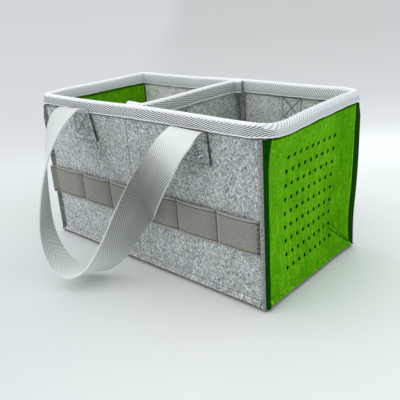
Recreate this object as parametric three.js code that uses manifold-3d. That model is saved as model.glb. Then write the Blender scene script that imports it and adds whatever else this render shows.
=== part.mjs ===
// Two-compartment felt organizer with sewn walls, a bound rim and two webbing handles.
// Millimetres, +Z up. The origin is on the floor under the middle of the body.
// +X runs along the long side, and the band is on the front, which faces -Y.
import * as THREE from "three";
import { mergeVertices } from "three/addons/utils/BufferGeometryUtils.js";
import Module from "manifold-3d";

const wasm = await Module();
wasm.setup();
const { degToRad } = THREE.MathUtils;

// Body, between the inner faces of the walls
const innerLength = 298;
const innerWidth = 149;
const rimHeight = 170;

// Sheet thicknesses
const sideFelt = 3;
const endFelt = 4;
const baseFelt = 3;
const dividerFelt = 3;
const patchFelt = 2;
const tapeThickness = 1;
const webbingThickness = 1.6;
const bandThickness = 1.4;

// Pinched seams: both plies turn outwards at 45 degrees, from the inner corner to the raw edge
const cornerSeamReach = 6.5;
const baseSeamReach = 6.5;
const baseSagInset = 22;

// Binding tape folded over the rim and over the divider
const tapeDrop = 13;
const rimCornerRadius = 11;

// Clearances
const plyGap = 0.3;
const fitGap = 0.3;
const tapeGap = 0.15;
const layerGap = 0.15;

// Punched end walls
const holeDiameter = 3.5;
const holeRows = 9;
const holeColumns = 9;
const holePitchAcross = 10;
const holePitchUp = 13.2;
const holeGridCentre = 79;
const holeSides = 6;

// Divider: a sheet bent like a Z, with a flange sewn to the front and one to the back
const dividerOffset = 7;
const dividerFrontFlange = 17;
const dividerBackFlange = 11;
const dividerJogHeight = 5;
const frontSeamOffsets = [-11, 6];
const backSeamOffset = 14;

// Handles
const webbingWidth = 38;
const handleSpread = 156;
const foldStandOff = 8.7;
const foldRise = 5;
const strapBendDrop = 4;
const strapBendSteps = 5;
const strapSewnLength = 31;
const patchMargin = 1.5;
const stitchBoxWidth = 22;
const stitchBoxHeight = 22;
const stitchBoxDrop = 2;
const loopShift = -16;
const loopReach = 65.9;
const loopHeight = 16.4;
const loopHeading = 40.6;
const loopTilt = 22.6;
const rightLimb = { leave: 106.2, angle: 42.3, lean: -0.24, arrive: 40.9, tilt: -45.8, ease: 0.88 };
const leftLimb = { leave: 65.3, angle: 73.9, lean: 0, arrive: 39.6, tilt: 68.8, ease: 0.8 };
const limbSteps = 20;
const limbSquaredBy = 0.15;
const roundedEndReach = 0.35;
const roundedEndThickness = 0.5;

// Band sewn along the front in cells
const bandCells = 6;
const bandMargin = 2;
const bandBottom = 53.5;
const bandHeight = 32.5;
const bandBulge = 2;
const bandStepsPerCell = 6;
const bandTab = 4.5;

// Sewing thread
const threadWidth = 0.8;
const threadHeight = 0.5;

const halfLength = innerLength / 2;
const halfWidth = innerWidth / 2;
const diagonal = Math.SQRT1_2;
const bendInset = Math.SQRT2 - 1;
const seamLine = (baseSeamReach + baseFelt) * diagonal;
const tapeBottom = rimHeight - tapeDrop;
const feltTop = rimHeight - tapeThickness - tapeGap;
const seamTop = tapeBottom - fitGap;
const frontFace = -halfWidth - sideFelt;
const foldLine = frontFace - foldStandOff;
const bandCell = (innerLength - 2 * bandMargin) / bandCells;
const foldHeight = tapeBottom + foldRise;
const strapBendStart = tapeBottom - strapBendDrop;
const strapEndBottom = strapBendStart - strapSewnLength;
const loopBottom = new THREE.Vector3(loopShift, foldLine - loopReach, loopHeight);
const pinchInset = plyGap / 2 * Math.SQRT2;
const feltCornerRadius = rimCornerRadius - tapeThickness - tapeGap;

// Cutting solids run past what they cut
const overshoot = 1;
const beyond = 40;

const colours = {
  grey: { color: 0xaab0b0, roughness: 0.95, metalness: 0 },
  green: { color: 0x4c9a10, roughness: 0.92, metalness: 0 },
  tape: { color: 0xc3c9ca, roughness: 0.6, metalness: 0 },
  webbing: { color: 0xb9bfbd, roughness: 0.5, metalness: 0 },
  band: { color: 0x8c8a82, roughness: 0.7, metalness: 0 },
  thread: { color: 0x7d8484, roughness: 0.6, metalness: 0 },
  greenThread: { color: 0x2f6a12, roughness: 0.6, metalness: 0 },
};

const organizer = new THREE.Group();

function addPiece(name, solid, finish) {
  const geometry = solid.isBufferGeometry ? solid : toGeometry(solid);
  geometry.computeVertexNormals();
  const mesh = new THREE.Mesh(geometry, new THREE.MeshStandardMaterial(colours[finish]));
  mesh.name = name;
  organizer.add(mesh);
}

// A closed three.js geometry as a solid that can be joined and cut
function toSolid(geometry) {
  const bare = geometry.clone();
  bare.deleteAttribute("normal");
  bare.deleteAttribute("uv");
  const merged = mergeVertices(bare, 1e-4);
  return new wasm.Manifold(new wasm.Mesh({
    numProp: 3,
    vertProperties: new Float32Array(merged.attributes.position.array),
    triVerts: new Uint32Array(merged.index.array),
  }));
}

function toGeometry(solid) {
  const mesh = solid.getMesh();
  const geometry = new THREE.BufferGeometry();
  geometry.setAttribute("position", new THREE.BufferAttribute(mesh.vertProperties, 3));
  geometry.setIndex(new THREE.BufferAttribute(mesh.triVerts, 1));
  return geometry;
}

function polygon(points) {
  return new THREE.Shape(points.map(([x, y]) => new THREE.Vector2(x, y)));
}

// A plan outline raised from one height to another
function extrudeUp(shape, low, high, curveSegments = 6) {
  const options = { depth: high - low, bevelEnabled: false, curveSegments };
  return new THREE.ExtrudeGeometry(shape, options).translate(0, 0, low);
}

// A side outline, drawn in Y and Z, drawn out along X
function extrudeAlongX(shape, from, to) {
  const geometry = new THREE.ExtrudeGeometry(shape, { depth: to - from, bevelEnabled: false });
  const turn = new THREE.Matrix4().makeBasis(
    new THREE.Vector3(0, 1, 0),
    new THREE.Vector3(0, 0, 1),
    new THREE.Vector3(1, 0, 0),
  );
  return geometry.applyMatrix4(turn).translate(from, 0, 0);
}

// A front outline, drawn in X and Z, drawn out from one Y to another
function extrudeAlongY(shape, from, to) {
  const geometry = new THREE.ExtrudeGeometry(shape, { depth: to - from, bevelEnabled: false });
  return geometry.rotateX(Math.PI / 2).translate(0, to, 0);
}

function box(low, high) {
  const size = high.map((value, axis) => value - low[axis]);
  const middle = high.map((value, axis) => (value + low[axis]) / 2);
  return new THREE.BoxGeometry(...size).translate(...middle);
}

function roundedRectangle(halfX, halfY, radius) {
  const shape = new THREE.Shape();
  shape.moveTo(halfX - radius, -halfY);
  shape.absarc(halfX - radius, -halfY + radius, radius, -Math.PI / 2, 0);
  shape.absarc(halfX - radius, halfY - radius, radius, 0, Math.PI / 2);
  shape.absarc(-halfX + radius, halfY - radius, radius, Math.PI / 2, Math.PI);
  shape.absarc(-halfX + radius, -halfY + radius, radius, Math.PI, Math.PI * 1.5);
  return shape;
}

// A strip of even thickness along a line of points, with mitred bends
function ribbon(points, thickness) {
  const sideA = [];
  const sideB = [];
  const runs = points.slice(1).map((point, index) => unit(points[index], point));
  points.forEach((point, index) => {
    const intoPoint = runs[Math.max(index - 1, 0)];
    const outOfPoint = runs[Math.min(index, runs.length - 1)];
    const normal = [-(intoPoint[1] + outOfPoint[1]), intoPoint[0] + outOfPoint[0]];
    const length = Math.hypot(...normal);
    const reach = thickness / length;
    sideA.push([point[0] + normal[0] / length * reach, point[1] + normal[1] / length * reach]);
    sideB.push([point[0] - normal[0] / length * reach, point[1] - normal[1] / length * reach]);
  });
  return polygon([...sideA, ...sideB.reverse()]);
}

function unit(from, to) {
  const length = Math.hypot(to[0] - from[0], to[1] - from[1]);
  return [(to[0] - from[0]) / length, (to[1] - from[1]) / length];
}

// Plan outline of the felt at the rim, or of what lies round it
function rimOutline(grow) {
  return roundedRectangle(
    halfLength + endFelt + grow,
    halfWidth + sideFelt + grow,
    feltCornerRadius + grow,
  );
}

// The strip of felt under the rim binding, as one ring round the body
function rimRing(grow, low, high) {
  const shape = rimOutline(grow);
  const innerRadius = feltCornerRadius - endFelt - grow;
  shape.holes.push(roundedRectangle(halfLength - grow, halfWidth - grow, innerRadius));
  return toSolid(extrudeUp(shape, low, high));
}

// A wall whose inner face is at y = -depth. Its side and bottom edges turn outwards at 45 degrees.
function wallPanel(halfSpan, depth, felt, turn) {
  const lift = seamLine + plyGap * Math.SQRT2;
  const corner = halfSpan - pinchInset;
  const reach = cornerSeamReach * diagonal;
  const baseReach = baseSeamReach * diagonal;
  const ply = felt * diagonal;
  const rightHalf = [
    [corner, -depth],
    [corner + reach, -depth - reach],
    [corner + reach - ply, -depth - reach - ply],
    [corner - bendInset * felt, -depth - felt],
  ];
  const leftHalf = rightHalf.map(([x, y]) => [-x, y]).reverse();
  const plan = toSolid(extrudeUp(polygon([...rightHalf, ...leftHalf]), plyGap, seamTop));
  const sideView = toSolid(extrudeAlongX(polygon([
    [-depth, lift],
    [-depth - baseReach, lift - baseReach],
    [-depth - baseReach - ply, lift - baseReach + ply],
    [-depth - felt, lift + bendInset * felt],
    [-depth - felt, seamTop],
    [-depth, seamTop],
  ]), -halfSpan - beyond, halfSpan + beyond));
  const betweenCorners = toSolid(extrudeUp(polygon([
    [corner - beyond, -depth + beyond],
    [corner + beyond, -depth - beyond],
    [-corner - beyond, -depth - beyond],
    [-corner + beyond, -depth + beyond],
  ]), -beyond, rimHeight + beyond));
  const aboveBase = toSolid(extrudeAlongX(polygon([
    [-depth, lift],
    [-depth - beyond, lift - beyond],
    [-depth - beyond, rimHeight],
    [-depth, rimHeight],
  ]), -halfSpan - beyond, halfSpan + beyond));
  const sewnPart = plan.intersect(aboveBase).add(sideView.intersect(betweenCorners));
  const boundPart = rimRing(0, seamTop - overshoot, feltTop);
  const spin = [0, 0, turn];
  return sewnPart.rotate(spin).add(boundPart.intersect(betweenCorners.rotate(spin)));
}

function punched(panel, faceX) {
  const radius = holeDiameter / 2;
  const drill = new THREE.CylinderGeometry(radius, radius, endFelt + 2 * overshoot, holeSides);
  drill.rotateZ(Math.PI / 2);
  let result = panel;
  for (let row = 0; row < holeRows; row += 1) {
    for (let column = 0; column < holeColumns; column += 1) {
      const y = (column - (holeColumns - 1) / 2) * holePitchAcross;
      const z = holeGridCentre + (row - (holeRows - 1) / 2) * holePitchUp;
      result = result.subtract(toSolid(drill.clone().translate(faceX, y, z)));
    }
  }
  return result;
}

// The base lies on the floor in the middle and rises to the seam line at the walls.
// Its edge turns down and outwards, against the turned edges of the walls.
function basePanel() {
  const reach = baseSeamReach * diagonal;
  const ply = baseFelt * diagonal;
  const slope = (seamLine - baseFelt) / baseSagInset;
  const bend = (baseFelt - 2 * ply) / (1 + slope);
  const section = [
    [-baseSagInset, 0],
    [bend, slope * (bend + baseSagInset)],
    [reach - ply, 0],
    [reach, seamLine - reach],
    [0, seamLine],
    [-baseSagInset, baseFelt],
  ];
  const positions = [];
  for (const [offset, height] of section) {
    const x = halfLength + offset;
    const y = halfWidth + offset;
    positions.push(-x, -y, height, x, -y, height, x, y, height, -x, y, height);
  }
  const index = [0, 2, 1, 0, 3, 2];
  for (let ring = 0; ring < section.length - 1; ring += 1) {
    for (let side = 0; side < 4; side += 1) {
      const a = ring * 4 + side;
      const b = ring * 4 + (side + 1) % 4;
      index.push(a, b, b + 4, a, b + 4, a + 4);
    }
  }
  const last = (section.length - 1) * 4;
  index.push(last, last + 1, last + 2, last, last + 2, last + 3);
  const geometry = new THREE.BufferGeometry();
  geometry.setAttribute("position", new THREE.Float32BufferAttribute(positions, 3));
  geometry.setIndex(index);
  return geometry;
}

const dividerLeft = dividerOffset - dividerFelt / 2;
const dividerRight = dividerOffset + dividerFelt / 2;
const tapeRoom = tapeThickness + tapeGap + fitGap;

// The divider's bottom edge follows the base, and its ends step in under the rim binding
function dividerPanel() {
  const wall = halfWidth - fitGap;
  const top = halfWidth - tapeRoom;
  const jogTop = tapeBottom - fitGap;
  const jogBottom = jogTop - dividerJogHeight;
  const sag = halfWidth - baseSagInset;
  const sheet = extrudeAlongX(polygon([
    [-wall, seamLine + fitGap],
    [-sag, baseFelt + fitGap],
    [sag, baseFelt + fitGap],
    [wall, seamLine + fitGap],
    [wall, jogBottom],
    [top, jogTop],
    [top, feltTop],
    [-top, feltTop],
    [-top, jogTop],
    [-wall, jogBottom],
  ]), dividerLeft, dividerRight);
  const flangeSection = (side) => polygon([
    [side * wall, seamLine + fitGap],
    [side * wall, jogBottom],
    [side * top, jogTop],
    [side * top, feltTop],
    [side * (top - dividerFelt), feltTop],
    [side * (top - dividerFelt), jogTop],
    [side * (wall - dividerFelt), jogBottom],
    [side * (wall - dividerFelt), seamLine + fitGap],
  ]);
  const frontFlange = extrudeAlongX(flangeSection(-1), dividerLeft - dividerFrontFlange, dividerRight);
  const backFlange = extrudeAlongX(flangeSection(1), dividerLeft, dividerRight + dividerBackFlange);
  return toSolid(sheet).add(toSolid(frontFlange)).add(toSolid(backFlange));
}

// Tape folded over the divider's top edge and over the tops of its two flanges
function dividerBinding() {
  const leg = tapeThickness + tapeGap;
  const end = halfWidth - tapeRoom;
  const flangeFace = end - dividerFelt;
  const frontEnd = dividerLeft - dividerFrontFlange;
  const backEnd = dividerRight + dividerBackFlange;
  const cover = (grow, wall) => [
    box([dividerLeft - grow, -end, tapeBottom], [dividerRight + grow, end, rimHeight]),
    box([frontEnd, -wall, tapeBottom], [dividerRight + grow, -flangeFace + grow, rimHeight]),
    box([dividerLeft - grow, flangeFace - grow, tapeBottom], [backEnd, wall, rimHeight]),
  ].map(toSolid).reduce((joined, solid) => joined.add(solid));
  const slotTop = feltTop + tapeGap;
  const slot = (grow) => [
    box([dividerLeft - grow, -halfWidth, 0], [dividerRight + grow, halfWidth, slotTop]),
    box([frontEnd - overshoot, -halfWidth, 0], [dividerRight + grow, -flangeFace + grow, slotTop]),
    box([dividerLeft - grow, flangeFace - grow, 0], [backEnd + overshoot, halfWidth, slotTop]),
  ].map(toSolid).reduce((joined, solid) => joined.add(solid));
  return cover(leg, end).subtract(slot(tapeGap));
}

function rimBinding() {
  const cover = rimRing(tapeThickness + tapeGap, tapeBottom, rimHeight);
  const slot = rimRing(tapeGap, 0, rimHeight - tapeThickness);
  return cover.subtract(slot);
}

// Sewn end of a handle: up behind the patch, then out under the rim binding to the fold line
function strapEnd(centreX) {
  const layer = frontFace - layerGap - webbingThickness / 2;
  const bend = new THREE.QuadraticBezierCurve(
    new THREE.Vector2(layer, strapBendStart),
    new THREE.Vector2(layer, tapeBottom),
    new THREE.Vector2(foldLine + webbingThickness / 2 + fitGap, foldHeight),
  );
  const points = [[layer, strapEndBottom], ...bend.getPoints(strapBendSteps).map(({ x, y }) => [x, y])];
  const half = webbingWidth / 2;
  return extrudeAlongX(ribbon(points, webbingThickness), centreX - half, centreX + half);
}

const patchBack = frontFace - layerGap - webbingThickness - layerGap;
const patchFace = patchBack - patchFelt;
const patchTop = strapBendStart - patchMargin;

function patch(centreX) {
  const half = webbingWidth / 2 + patchMargin;
  const low = strapEndBottom - patchMargin;
  return box([centreX - half, patchFace, low], [centreX + half, patchBack, patchTop]);
}

// A box with a cross in it, sewn through the patch and the strap end
function stitchBox(centreX) {
  const halfBox = stitchBoxWidth / 2;
  const high = patchTop - stitchBoxDrop;
  const low = high - stitchBoxHeight;
  const edge = threadWidth / 2;
  const frame = polygon([
    [centreX - halfBox - edge, low - edge],
    [centreX + halfBox + edge, low - edge],
    [centreX + halfBox + edge, high + edge],
    [centreX - halfBox - edge, high + edge],
  ]);
  frame.holes.push(polygon([
    [centreX - halfBox + edge, low + edge],
    [centreX + halfBox - edge, low + edge],
    [centreX + halfBox - edge, high - edge],
    [centreX - halfBox + edge, high - edge],
  ]));
  const crossA = ribbon([[centreX - halfBox, low], [centreX + halfBox, high]], threadWidth);
  const crossB = ribbon([[centreX - halfBox, high], [centreX + halfBox, low]], threadWidth);
  return [frame, crossA, crossB]
    .map((shape) => toSolid(extrudeAlongY(shape, patchFace - threadHeight, patchFace)))
    .reduce((joined, solid) => joined.add(solid));
}

// The middle line of one limb of a handle, from the fold to the bottom of the loop
function limbLine(side, limb) {
  const top = new THREE.Vector3(side * handleSpread / 2, foldLine, foldHeight);
  const angle = degToRad(limb.angle);
  const heading = degToRad(loopHeading);
  const leave = new THREE.Vector3(side * limb.lean, -Math.sin(angle), -Math.cos(angle));
  const arrive = new THREE.Vector3(side * Math.cos(heading), side * Math.sin(heading), 0);
  return new THREE.CubicBezierCurve3(
    top,
    top.clone().addScaledVector(leave, limb.leave),
    loopBottom.clone().addScaledVector(arrive, limb.arrive),
    loopBottom,
  );
}

// Webbing rings from the fold to the bottom of the loop. The strap turns a quarter on the way down,
// towards a width direction whose tilt goes over into the one at the bottom. Its end lies along the
// fold, and a little further down it is square to its own line.
function limbRings(side, limb) {
  const curve = limbLine(side, limb);
  const acrossTop = new THREE.Vector3(1, 0, 0);
  const rings = [];
  for (let step = 0; step <= limbSteps; step += 1) {
    const t = step / limbSteps;
    const along = curve.getTangent(t);
    const tilt = degToRad(THREE.MathUtils.lerp(limb.tilt, loopTilt, t));
    const acrossBottom = new THREE.Vector3(0, side * Math.cos(tilt), -side * Math.sin(tilt));
    const turned = THREE.MathUtils.smoothstep(t ** limb.ease, 0, 1) * Math.PI / 2;
    const across = acrossTop.clone().multiplyScalar(Math.cos(turned));
    across.addScaledVector(acrossBottom, Math.sin(turned));
    const squared = Math.min(1, t / limbSquaredBy);
    across.addScaledVector(along, -across.dot(along) * squared).normalize();
    rings.push({ centre: curve.getPoint(t), across, along, half: webbingThickness / 2 });
  }
  return rings;
}

// One unbroken strap from the right fold down to the bottom of the loop and up to the left fold
function handleLoop() {
  const right = limbRings(1, rightLimb);
  const left = limbRings(-1, leftLimb);
  for (const ring of left) {
    ring.along.multiplyScalar(-1);
    ring.across.multiplyScalar(-1);
  }
  const rings = [...right, ...left.reverse().slice(1)];
  const last = rings.length - 1;
  rings.unshift(roundedEnd(rings[0], -1));
  rings.push(roundedEnd(rings[last + 1], 1));
  const positions = [];
  const index = [];
  rings.forEach(({ centre, across, along, half }, count) => {
    const outward = new THREE.Vector3().crossVectors(across, along).normalize();
    for (const [wide, thick] of [[-1, -1], [1, -1], [1, 1], [-1, 1]]) {
      const point = centre.clone();
      point.addScaledVector(across, wide * webbingWidth / 2);
      point.addScaledVector(outward, thick * half);
      positions.push(point.x, point.y, point.z);
    }
    if (count === 0) return;
    for (let edge = 0; edge < 4; edge += 1) {
      const a = (count - 1) * 4 + edge;
      const b = (count - 1) * 4 + (edge + 1) % 4;
      index.push(a, b + 4, b, a, a + 4, b + 4);
    }
  });
  const end = (rings.length - 1) * 4;
  index.push(0, 1, 2, 0, 2, 3, end, end + 2, end + 1, end, end + 3, end + 2);
  const geometry = new THREE.BufferGeometry();
  geometry.setAttribute("position", new THREE.Float32BufferAttribute(positions, 3));
  geometry.setIndex(index);
  return geometry;
}

// A thinner ring just past the fold line rounds the end of the webbing
function roundedEnd(ring, direction) {
  const reach = direction * webbingThickness * roundedEndReach;
  return {
    centre: ring.centre.clone().addScaledVector(ring.along, reach),
    across: ring.across,
    along: ring.along,
    half: ring.half * roundedEndThickness,
  };
}

// Band along the front: held at the stitch lines, standing a little proud between them
function frontBand() {
  const layer = frontFace - layerGap - bandThickness / 2;
  const start = -bandCells * bandCell / 2;
  const points = [[start - bandTab * diagonal, layer - bandTab * diagonal]];
  for (let cell = 0; cell < bandCells; cell += 1) {
    for (let step = 0; step < bandStepsPerCell; step += 1) {
      const t = step / bandStepsPerCell;
      points.push([start + (cell + t) * bandCell, layer - bandBulge * Math.sin(Math.PI * t)]);
    }
  }
  points.push([-start, layer]);
  return extrudeUp(ribbon(points, bandThickness), bandBottom, bandBottom + bandHeight);
}

// Thread between two cells, or through the hem at the band's right end
function bandThread(count) {
  const hem = count === bandCells ? threadWidth : 0;
  const x = (count - bandCells / 2) * bandCell - hem;
  const face = frontFace - layerGap - bandThickness - layerGap;
  return box(
    [x - threadWidth / 2, face - threadHeight, bandBottom],
    [x + threadWidth / 2, face, bandBottom + bandHeight],
  );
}

// Thread along the outer side of an end wall's turned edge
function cornerThread(side) {
  const corner = halfWidth - pinchInset - bendInset * endFelt;
  const from = [side * corner, -halfLength - endFelt];
  const along = [side * diagonal, -diagonal];
  const out = [-side * diagonal, -diagonal];
  const at = (run, rise) => [
    from[0] + along[0] * run + out[0] * rise,
    from[1] + along[1] * run + out[1] * rise,
  ];
  return extrudeUp(polygon([
    at(threadWidth, fitGap),
    at(2 * threadWidth, fitGap),
    at(2 * threadWidth, fitGap + threadHeight),
    at(threadWidth, fitGap + threadHeight),
  ]), seamLine + sideFelt, seamTop);
}

// Thread along the outer side of a wall's turned bottom edge
function bottomThread(halfSpan, depth, felt) {
  const from = [-depth - felt, seamLine + plyGap * Math.SQRT2 + bendInset * felt];
  const at = (run, rise) => [
    from[0] - diagonal * run - diagonal * rise,
    from[1] - diagonal * run + diagonal * rise,
  ];
  return extrudeAlongX(polygon([
    at(threadWidth, fitGap),
    at(2 * threadWidth, fitGap),
    at(2 * threadWidth, fitGap + threadHeight),
    at(threadWidth, fitGap + threadHeight),
  ]), -halfSpan, halfSpan);
}

// Thread all round, near the lower edge of the rim binding
function rimThread() {
  const low = tapeBottom + threadWidth;
  const clear = tapeGap + tapeThickness + layerGap;
  const shape = rimOutline(clear + threadHeight);
  shape.holes.push(rimOutline(clear));
  return extrudeUp(shape, low, low + threadWidth);
}

// Thread that holds a divider flange to the front or back wall
function wallThread(x, faceY, direction) {
  const near = Math.min(faceY, faceY + direction * threadHeight);
  const low = seamLine + sideFelt;
  return box(
    [x - threadWidth / 2, near, low],
    [x + threadWidth / 2, near + threadHeight, seamTop],
  );
}

// Walls, base and divider
addPiece("front_panel", wallPanel(halfLength, halfWidth, sideFelt, 0), "grey");
addPiece("back_panel", wallPanel(halfLength, halfWidth, sideFelt, 180), "grey");
const faceX = halfLength + endFelt / 2;
addPiece("right_end_panel", punched(wallPanel(halfWidth, halfLength, endFelt, 90), faceX), "green");
addPiece("left_end_panel", punched(wallPanel(halfWidth, halfLength, endFelt, -90), -faceX), "green");
addPiece("base_panel", basePanel(), "grey");
addPiece("divider_panel", dividerPanel(), "grey");
addPiece("rim_binding", rimBinding(), "tape");
addPiece("divider_binding", dividerBinding(), "tape");
addPiece("front_band", frontBand(), "band");

// Handles, front and back: the back set is the front set turned half round
for (const [face, turn] of [["front", 0], ["back", Math.PI]]) {
  addPiece(`${face}_handle`, handleLoop().rotateZ(turn), "webbing");
  for (const side of [-1, 1]) {
    const x = side * handleSpread / 2;
    const label = `${face}_${side * Math.cos(turn) < 0 ? "left" : "right"}`;
    addPiece(`${label}_strap_end`, strapEnd(x).rotateZ(turn), "webbing");
    addPiece(`${label}_patch`, patch(x).rotateZ(turn), "grey");
    addPiece(`${label}_patch_thread`, stitchBox(x).rotate([0, 0, turn * 180 / Math.PI]), "thread");
  }
}

// Seams
for (const [end, turn] of [["right", Math.PI / 2], ["left", -Math.PI / 2]]) {
  for (const side of [-1, 1]) {
    const face = side * Math.sin(turn) < 0 ? "front" : "back";
    addPiece(`${face}_${end}_corner_thread`, cornerThread(side).rotateZ(turn), "greenThread");
  }
  const thread = bottomThread(halfWidth - endFelt, halfLength, endFelt);
  addPiece(`${end}_bottom_thread`, thread.rotateZ(turn), "greenThread");
}
for (const [face, turn] of [["front", 0], ["back", Math.PI]]) {
  const thread = bottomThread(halfLength - endFelt, halfWidth, sideFelt);
  addPiece(`${face}_bottom_thread`, thread.rotateZ(turn), "thread");
}
addPiece("rim_thread", rimThread(), "thread");
addPiece("front_divider_thread_left", wallThread(frontSeamOffsets[0], frontFace, -1), "thread");
addPiece("front_divider_thread_right", wallThread(frontSeamOffsets[1], frontFace, -1), "thread");
addPiece("back_divider_thread", wallThread(backSeamOffset, -frontFace, 1), "thread");
for (let count = 1; count <= bandCells; count += 1) {
  addPiece(`band_thread_${count}`, bandThread(count), "thread");
}

export default organizer;
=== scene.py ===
# Looks of a two-compartment felt organizer with webbing handles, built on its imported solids.
# Metres, +Z up. The band is on the front, which faces -Y.
import math

import bmesh
import bpy
import numpy as np
from mathutils import Matrix, Vector, noise


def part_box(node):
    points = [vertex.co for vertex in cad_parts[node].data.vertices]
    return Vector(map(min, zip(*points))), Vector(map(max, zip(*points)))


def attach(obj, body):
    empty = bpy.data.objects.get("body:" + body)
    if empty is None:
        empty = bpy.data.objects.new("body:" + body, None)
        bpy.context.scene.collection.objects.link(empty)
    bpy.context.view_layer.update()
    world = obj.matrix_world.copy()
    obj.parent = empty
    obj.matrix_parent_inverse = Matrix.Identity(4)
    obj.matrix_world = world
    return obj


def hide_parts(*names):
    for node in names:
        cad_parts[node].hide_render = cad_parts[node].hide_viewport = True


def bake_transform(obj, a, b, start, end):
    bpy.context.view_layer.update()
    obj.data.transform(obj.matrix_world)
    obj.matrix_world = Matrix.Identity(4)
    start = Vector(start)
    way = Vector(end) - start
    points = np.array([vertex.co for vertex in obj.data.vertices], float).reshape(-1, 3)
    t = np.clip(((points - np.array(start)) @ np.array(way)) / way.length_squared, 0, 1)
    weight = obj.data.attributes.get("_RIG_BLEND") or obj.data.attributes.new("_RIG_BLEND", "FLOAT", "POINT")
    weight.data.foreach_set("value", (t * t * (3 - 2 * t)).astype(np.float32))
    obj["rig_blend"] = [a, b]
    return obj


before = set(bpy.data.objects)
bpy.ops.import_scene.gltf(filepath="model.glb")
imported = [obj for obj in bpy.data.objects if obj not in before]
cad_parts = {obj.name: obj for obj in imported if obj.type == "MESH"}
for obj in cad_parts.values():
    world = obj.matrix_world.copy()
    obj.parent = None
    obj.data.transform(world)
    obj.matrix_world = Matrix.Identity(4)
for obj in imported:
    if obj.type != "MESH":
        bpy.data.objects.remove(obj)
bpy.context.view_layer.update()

MM = 0.001
DIAGONAL = math.sqrt(0.5)

# Body, between the inner faces of the walls
HALF_LENGTH = 149 * MM
HALF_WIDTH = 74.5 * MM
RIM_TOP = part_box("rim_binding")[1].z
TAPE_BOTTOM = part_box("rim_binding")[0].z

# The walls, each with how far it is turned from the front
FACES = (("front", 0.0), ("back", math.pi))
ENDS = (("right", math.pi / 2), ("left", -math.pi / 2))

# Sheets, and the gap between two that lie on each other
SIDE_FELT = 3 * MM
END_FELT = 4 * MM
BASE_FELT = 3 * MM
DIVIDER_FELT = 3 * MM
PATCH_FELT = 2 * MM
TAPE = 1 * MM
WEBBING = 1.6 * MM
BAND = 1.4 * MM
LAYER_GAP = 0.15 * MM

# Seams: both plies turn outwards at 45 degrees, and their stitches run a little past the fold
MITRE = math.tan(math.pi / 8)
SEAM_REACH = 6.5 * MM
PLY_GAP = 0.3 * MM
SEAM_LINE = (SEAM_REACH + BASE_FELT) * DIAGONAL
SEAM_TOP = TAPE_BOTTOM - 0.3 * MM
INSET = PLY_GAP / 2 * math.sqrt(2)
LIFT = SEAM_LINE + PLY_GAP * math.sqrt(2)
SEAM_SQUEEZE = 0.25
BASE_SAG = 22 * MM
BEND_ROOM = 0.8 * MM
ROW_RUN = 2.6 * MM
CORNER_CUT = 8 * MM

# Punched end walls
HOLE_RADIUS = 2 * MM
HOLE_LIP = 0.5 * MM
HOLES = 9
HOLE_ACROSS = 10 * MM
HOLE_UP = 13.2 * MM
HOLE_MIDDLE = 79 * MM

# Creases near one bottom corner of an end wall, across and up on it
CREASE_FROM = (76 * MM, 5 * MM)
CREASES = ((26 * MM, 46 * MM), (38 * MM, 44 * MM))

# Divider
DIVIDER_X = 7 * MM
DIVIDER_FRONT = 17 * MM
DIVIDER_BACK = 11 * MM
DIVIDER_END = 70.5 * MM
DIVIDER_BEND = 3.2 * MM
DIVIDER_DROP = 0.4 * MM
FLANGE_RISE = 0.9 * MM
FLANGE_OUT = 2.1 * MM
FRONT_SEAMS = (-11 * MM, 6 * MM)
BACK_SEAM = 14 * MM

# Handles
WEB_HALF = 19 * MM
HANDLE_X = 78 * MM
FRONT_FACE = HALF_WIDTH + SIDE_FELT
FOLD_OUT = FRONT_FACE + 8.7 * MM
FOLD_Z = {1: TAPE_BOTTOM + 1.2 * MM, -1: TAPE_BOTTOM + 5.2 * MM}
STRAP_Z = (TAPE_BOTTOM - 28 * MM, TAPE_BOTTOM - 4 * MM)
PATCH_Z = (TAPE_BOTTOM - 29.5 * MM, TAPE_BOTTOM - 0.8 * MM)
BOX_HALF = 11.5 * MM
BACK_BOX_X = HANDLE_X + 3 * MM
BOX_Z = (TAPE_BOTTOM - 24 * MM, TAPE_BOTTOM - 1.4 * MM)
BOX_MIDDLE = (BOX_Z[0] + BOX_Z[1]) / 2
PATCH_HALF = WEB_HALF + 1.5 * MM

# Where the webbing starts to follow its handle and where it follows it wholly, out from the middle
BLEND = (80 * MM, 92 * MM)

# How much narrower one half of the webbing gets towards its left sewn end
LEFT_NARROWING = 0.27

# How far a patch's sides bend to the wall, and its right edge's distance from its middle, low and high
PATCH_BEND = 0.9 * MM
PATCH_EDGES = {-1: (21.8 * MM, 13.9 * MM), 1: (22.3 * MM, 18.8 * MM)}

# The hanging loop, from its right fold to its left one: a point on it, mm, and its width direction there
LOOP = (
    (78.4, -86.0, 158.3, 0.99, -0.05, -0.03),
    (76.4, -94.4, 151.2, 0.98, -0.12, -0.14),
    (71.3, -102.1, 142.1, 0.93, -0.19, -0.30),
    (58.4, -108.0, 120.5, 0.79, -0.14, -0.60),
    (37.6, -100.8, 98.6, 0.70, 0.12, -0.70),
    (16.6, -93.8, 78.1, 0.67, 0.47, -0.58),
    (5.3, -102.9, 57.3, 0.31, 0.74, -0.60),
    (0.8, -121.7, 33.6, 0.01, 0.76, -0.65),
    (-11.0, -137.1, 15.8, -0.28, 0.84, -0.46),
    (-29.6, -147.4, 11.5, -0.45, 0.87, -0.20),
    (-46.1, -154.7, 24.2, -0.51, 0.86, -0.08),
    (-54.6, -157.1, 52.9, -0.60, 0.79, -0.12),
    (-56.9, -151.8, 88.7, -0.72, 0.67, -0.18),
    (-59.2, -140.9, 123.1, -0.85, 0.44, -0.28),
    (-63.6, -124.3, 149.2, -0.95, 0.07, -0.31),
    (-70.0, -104.7, 161.8, -0.93, -0.32, -0.17),
    (-78.0, -86.2, 162.2, -0.91, -0.41, 0.11),
)

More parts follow.
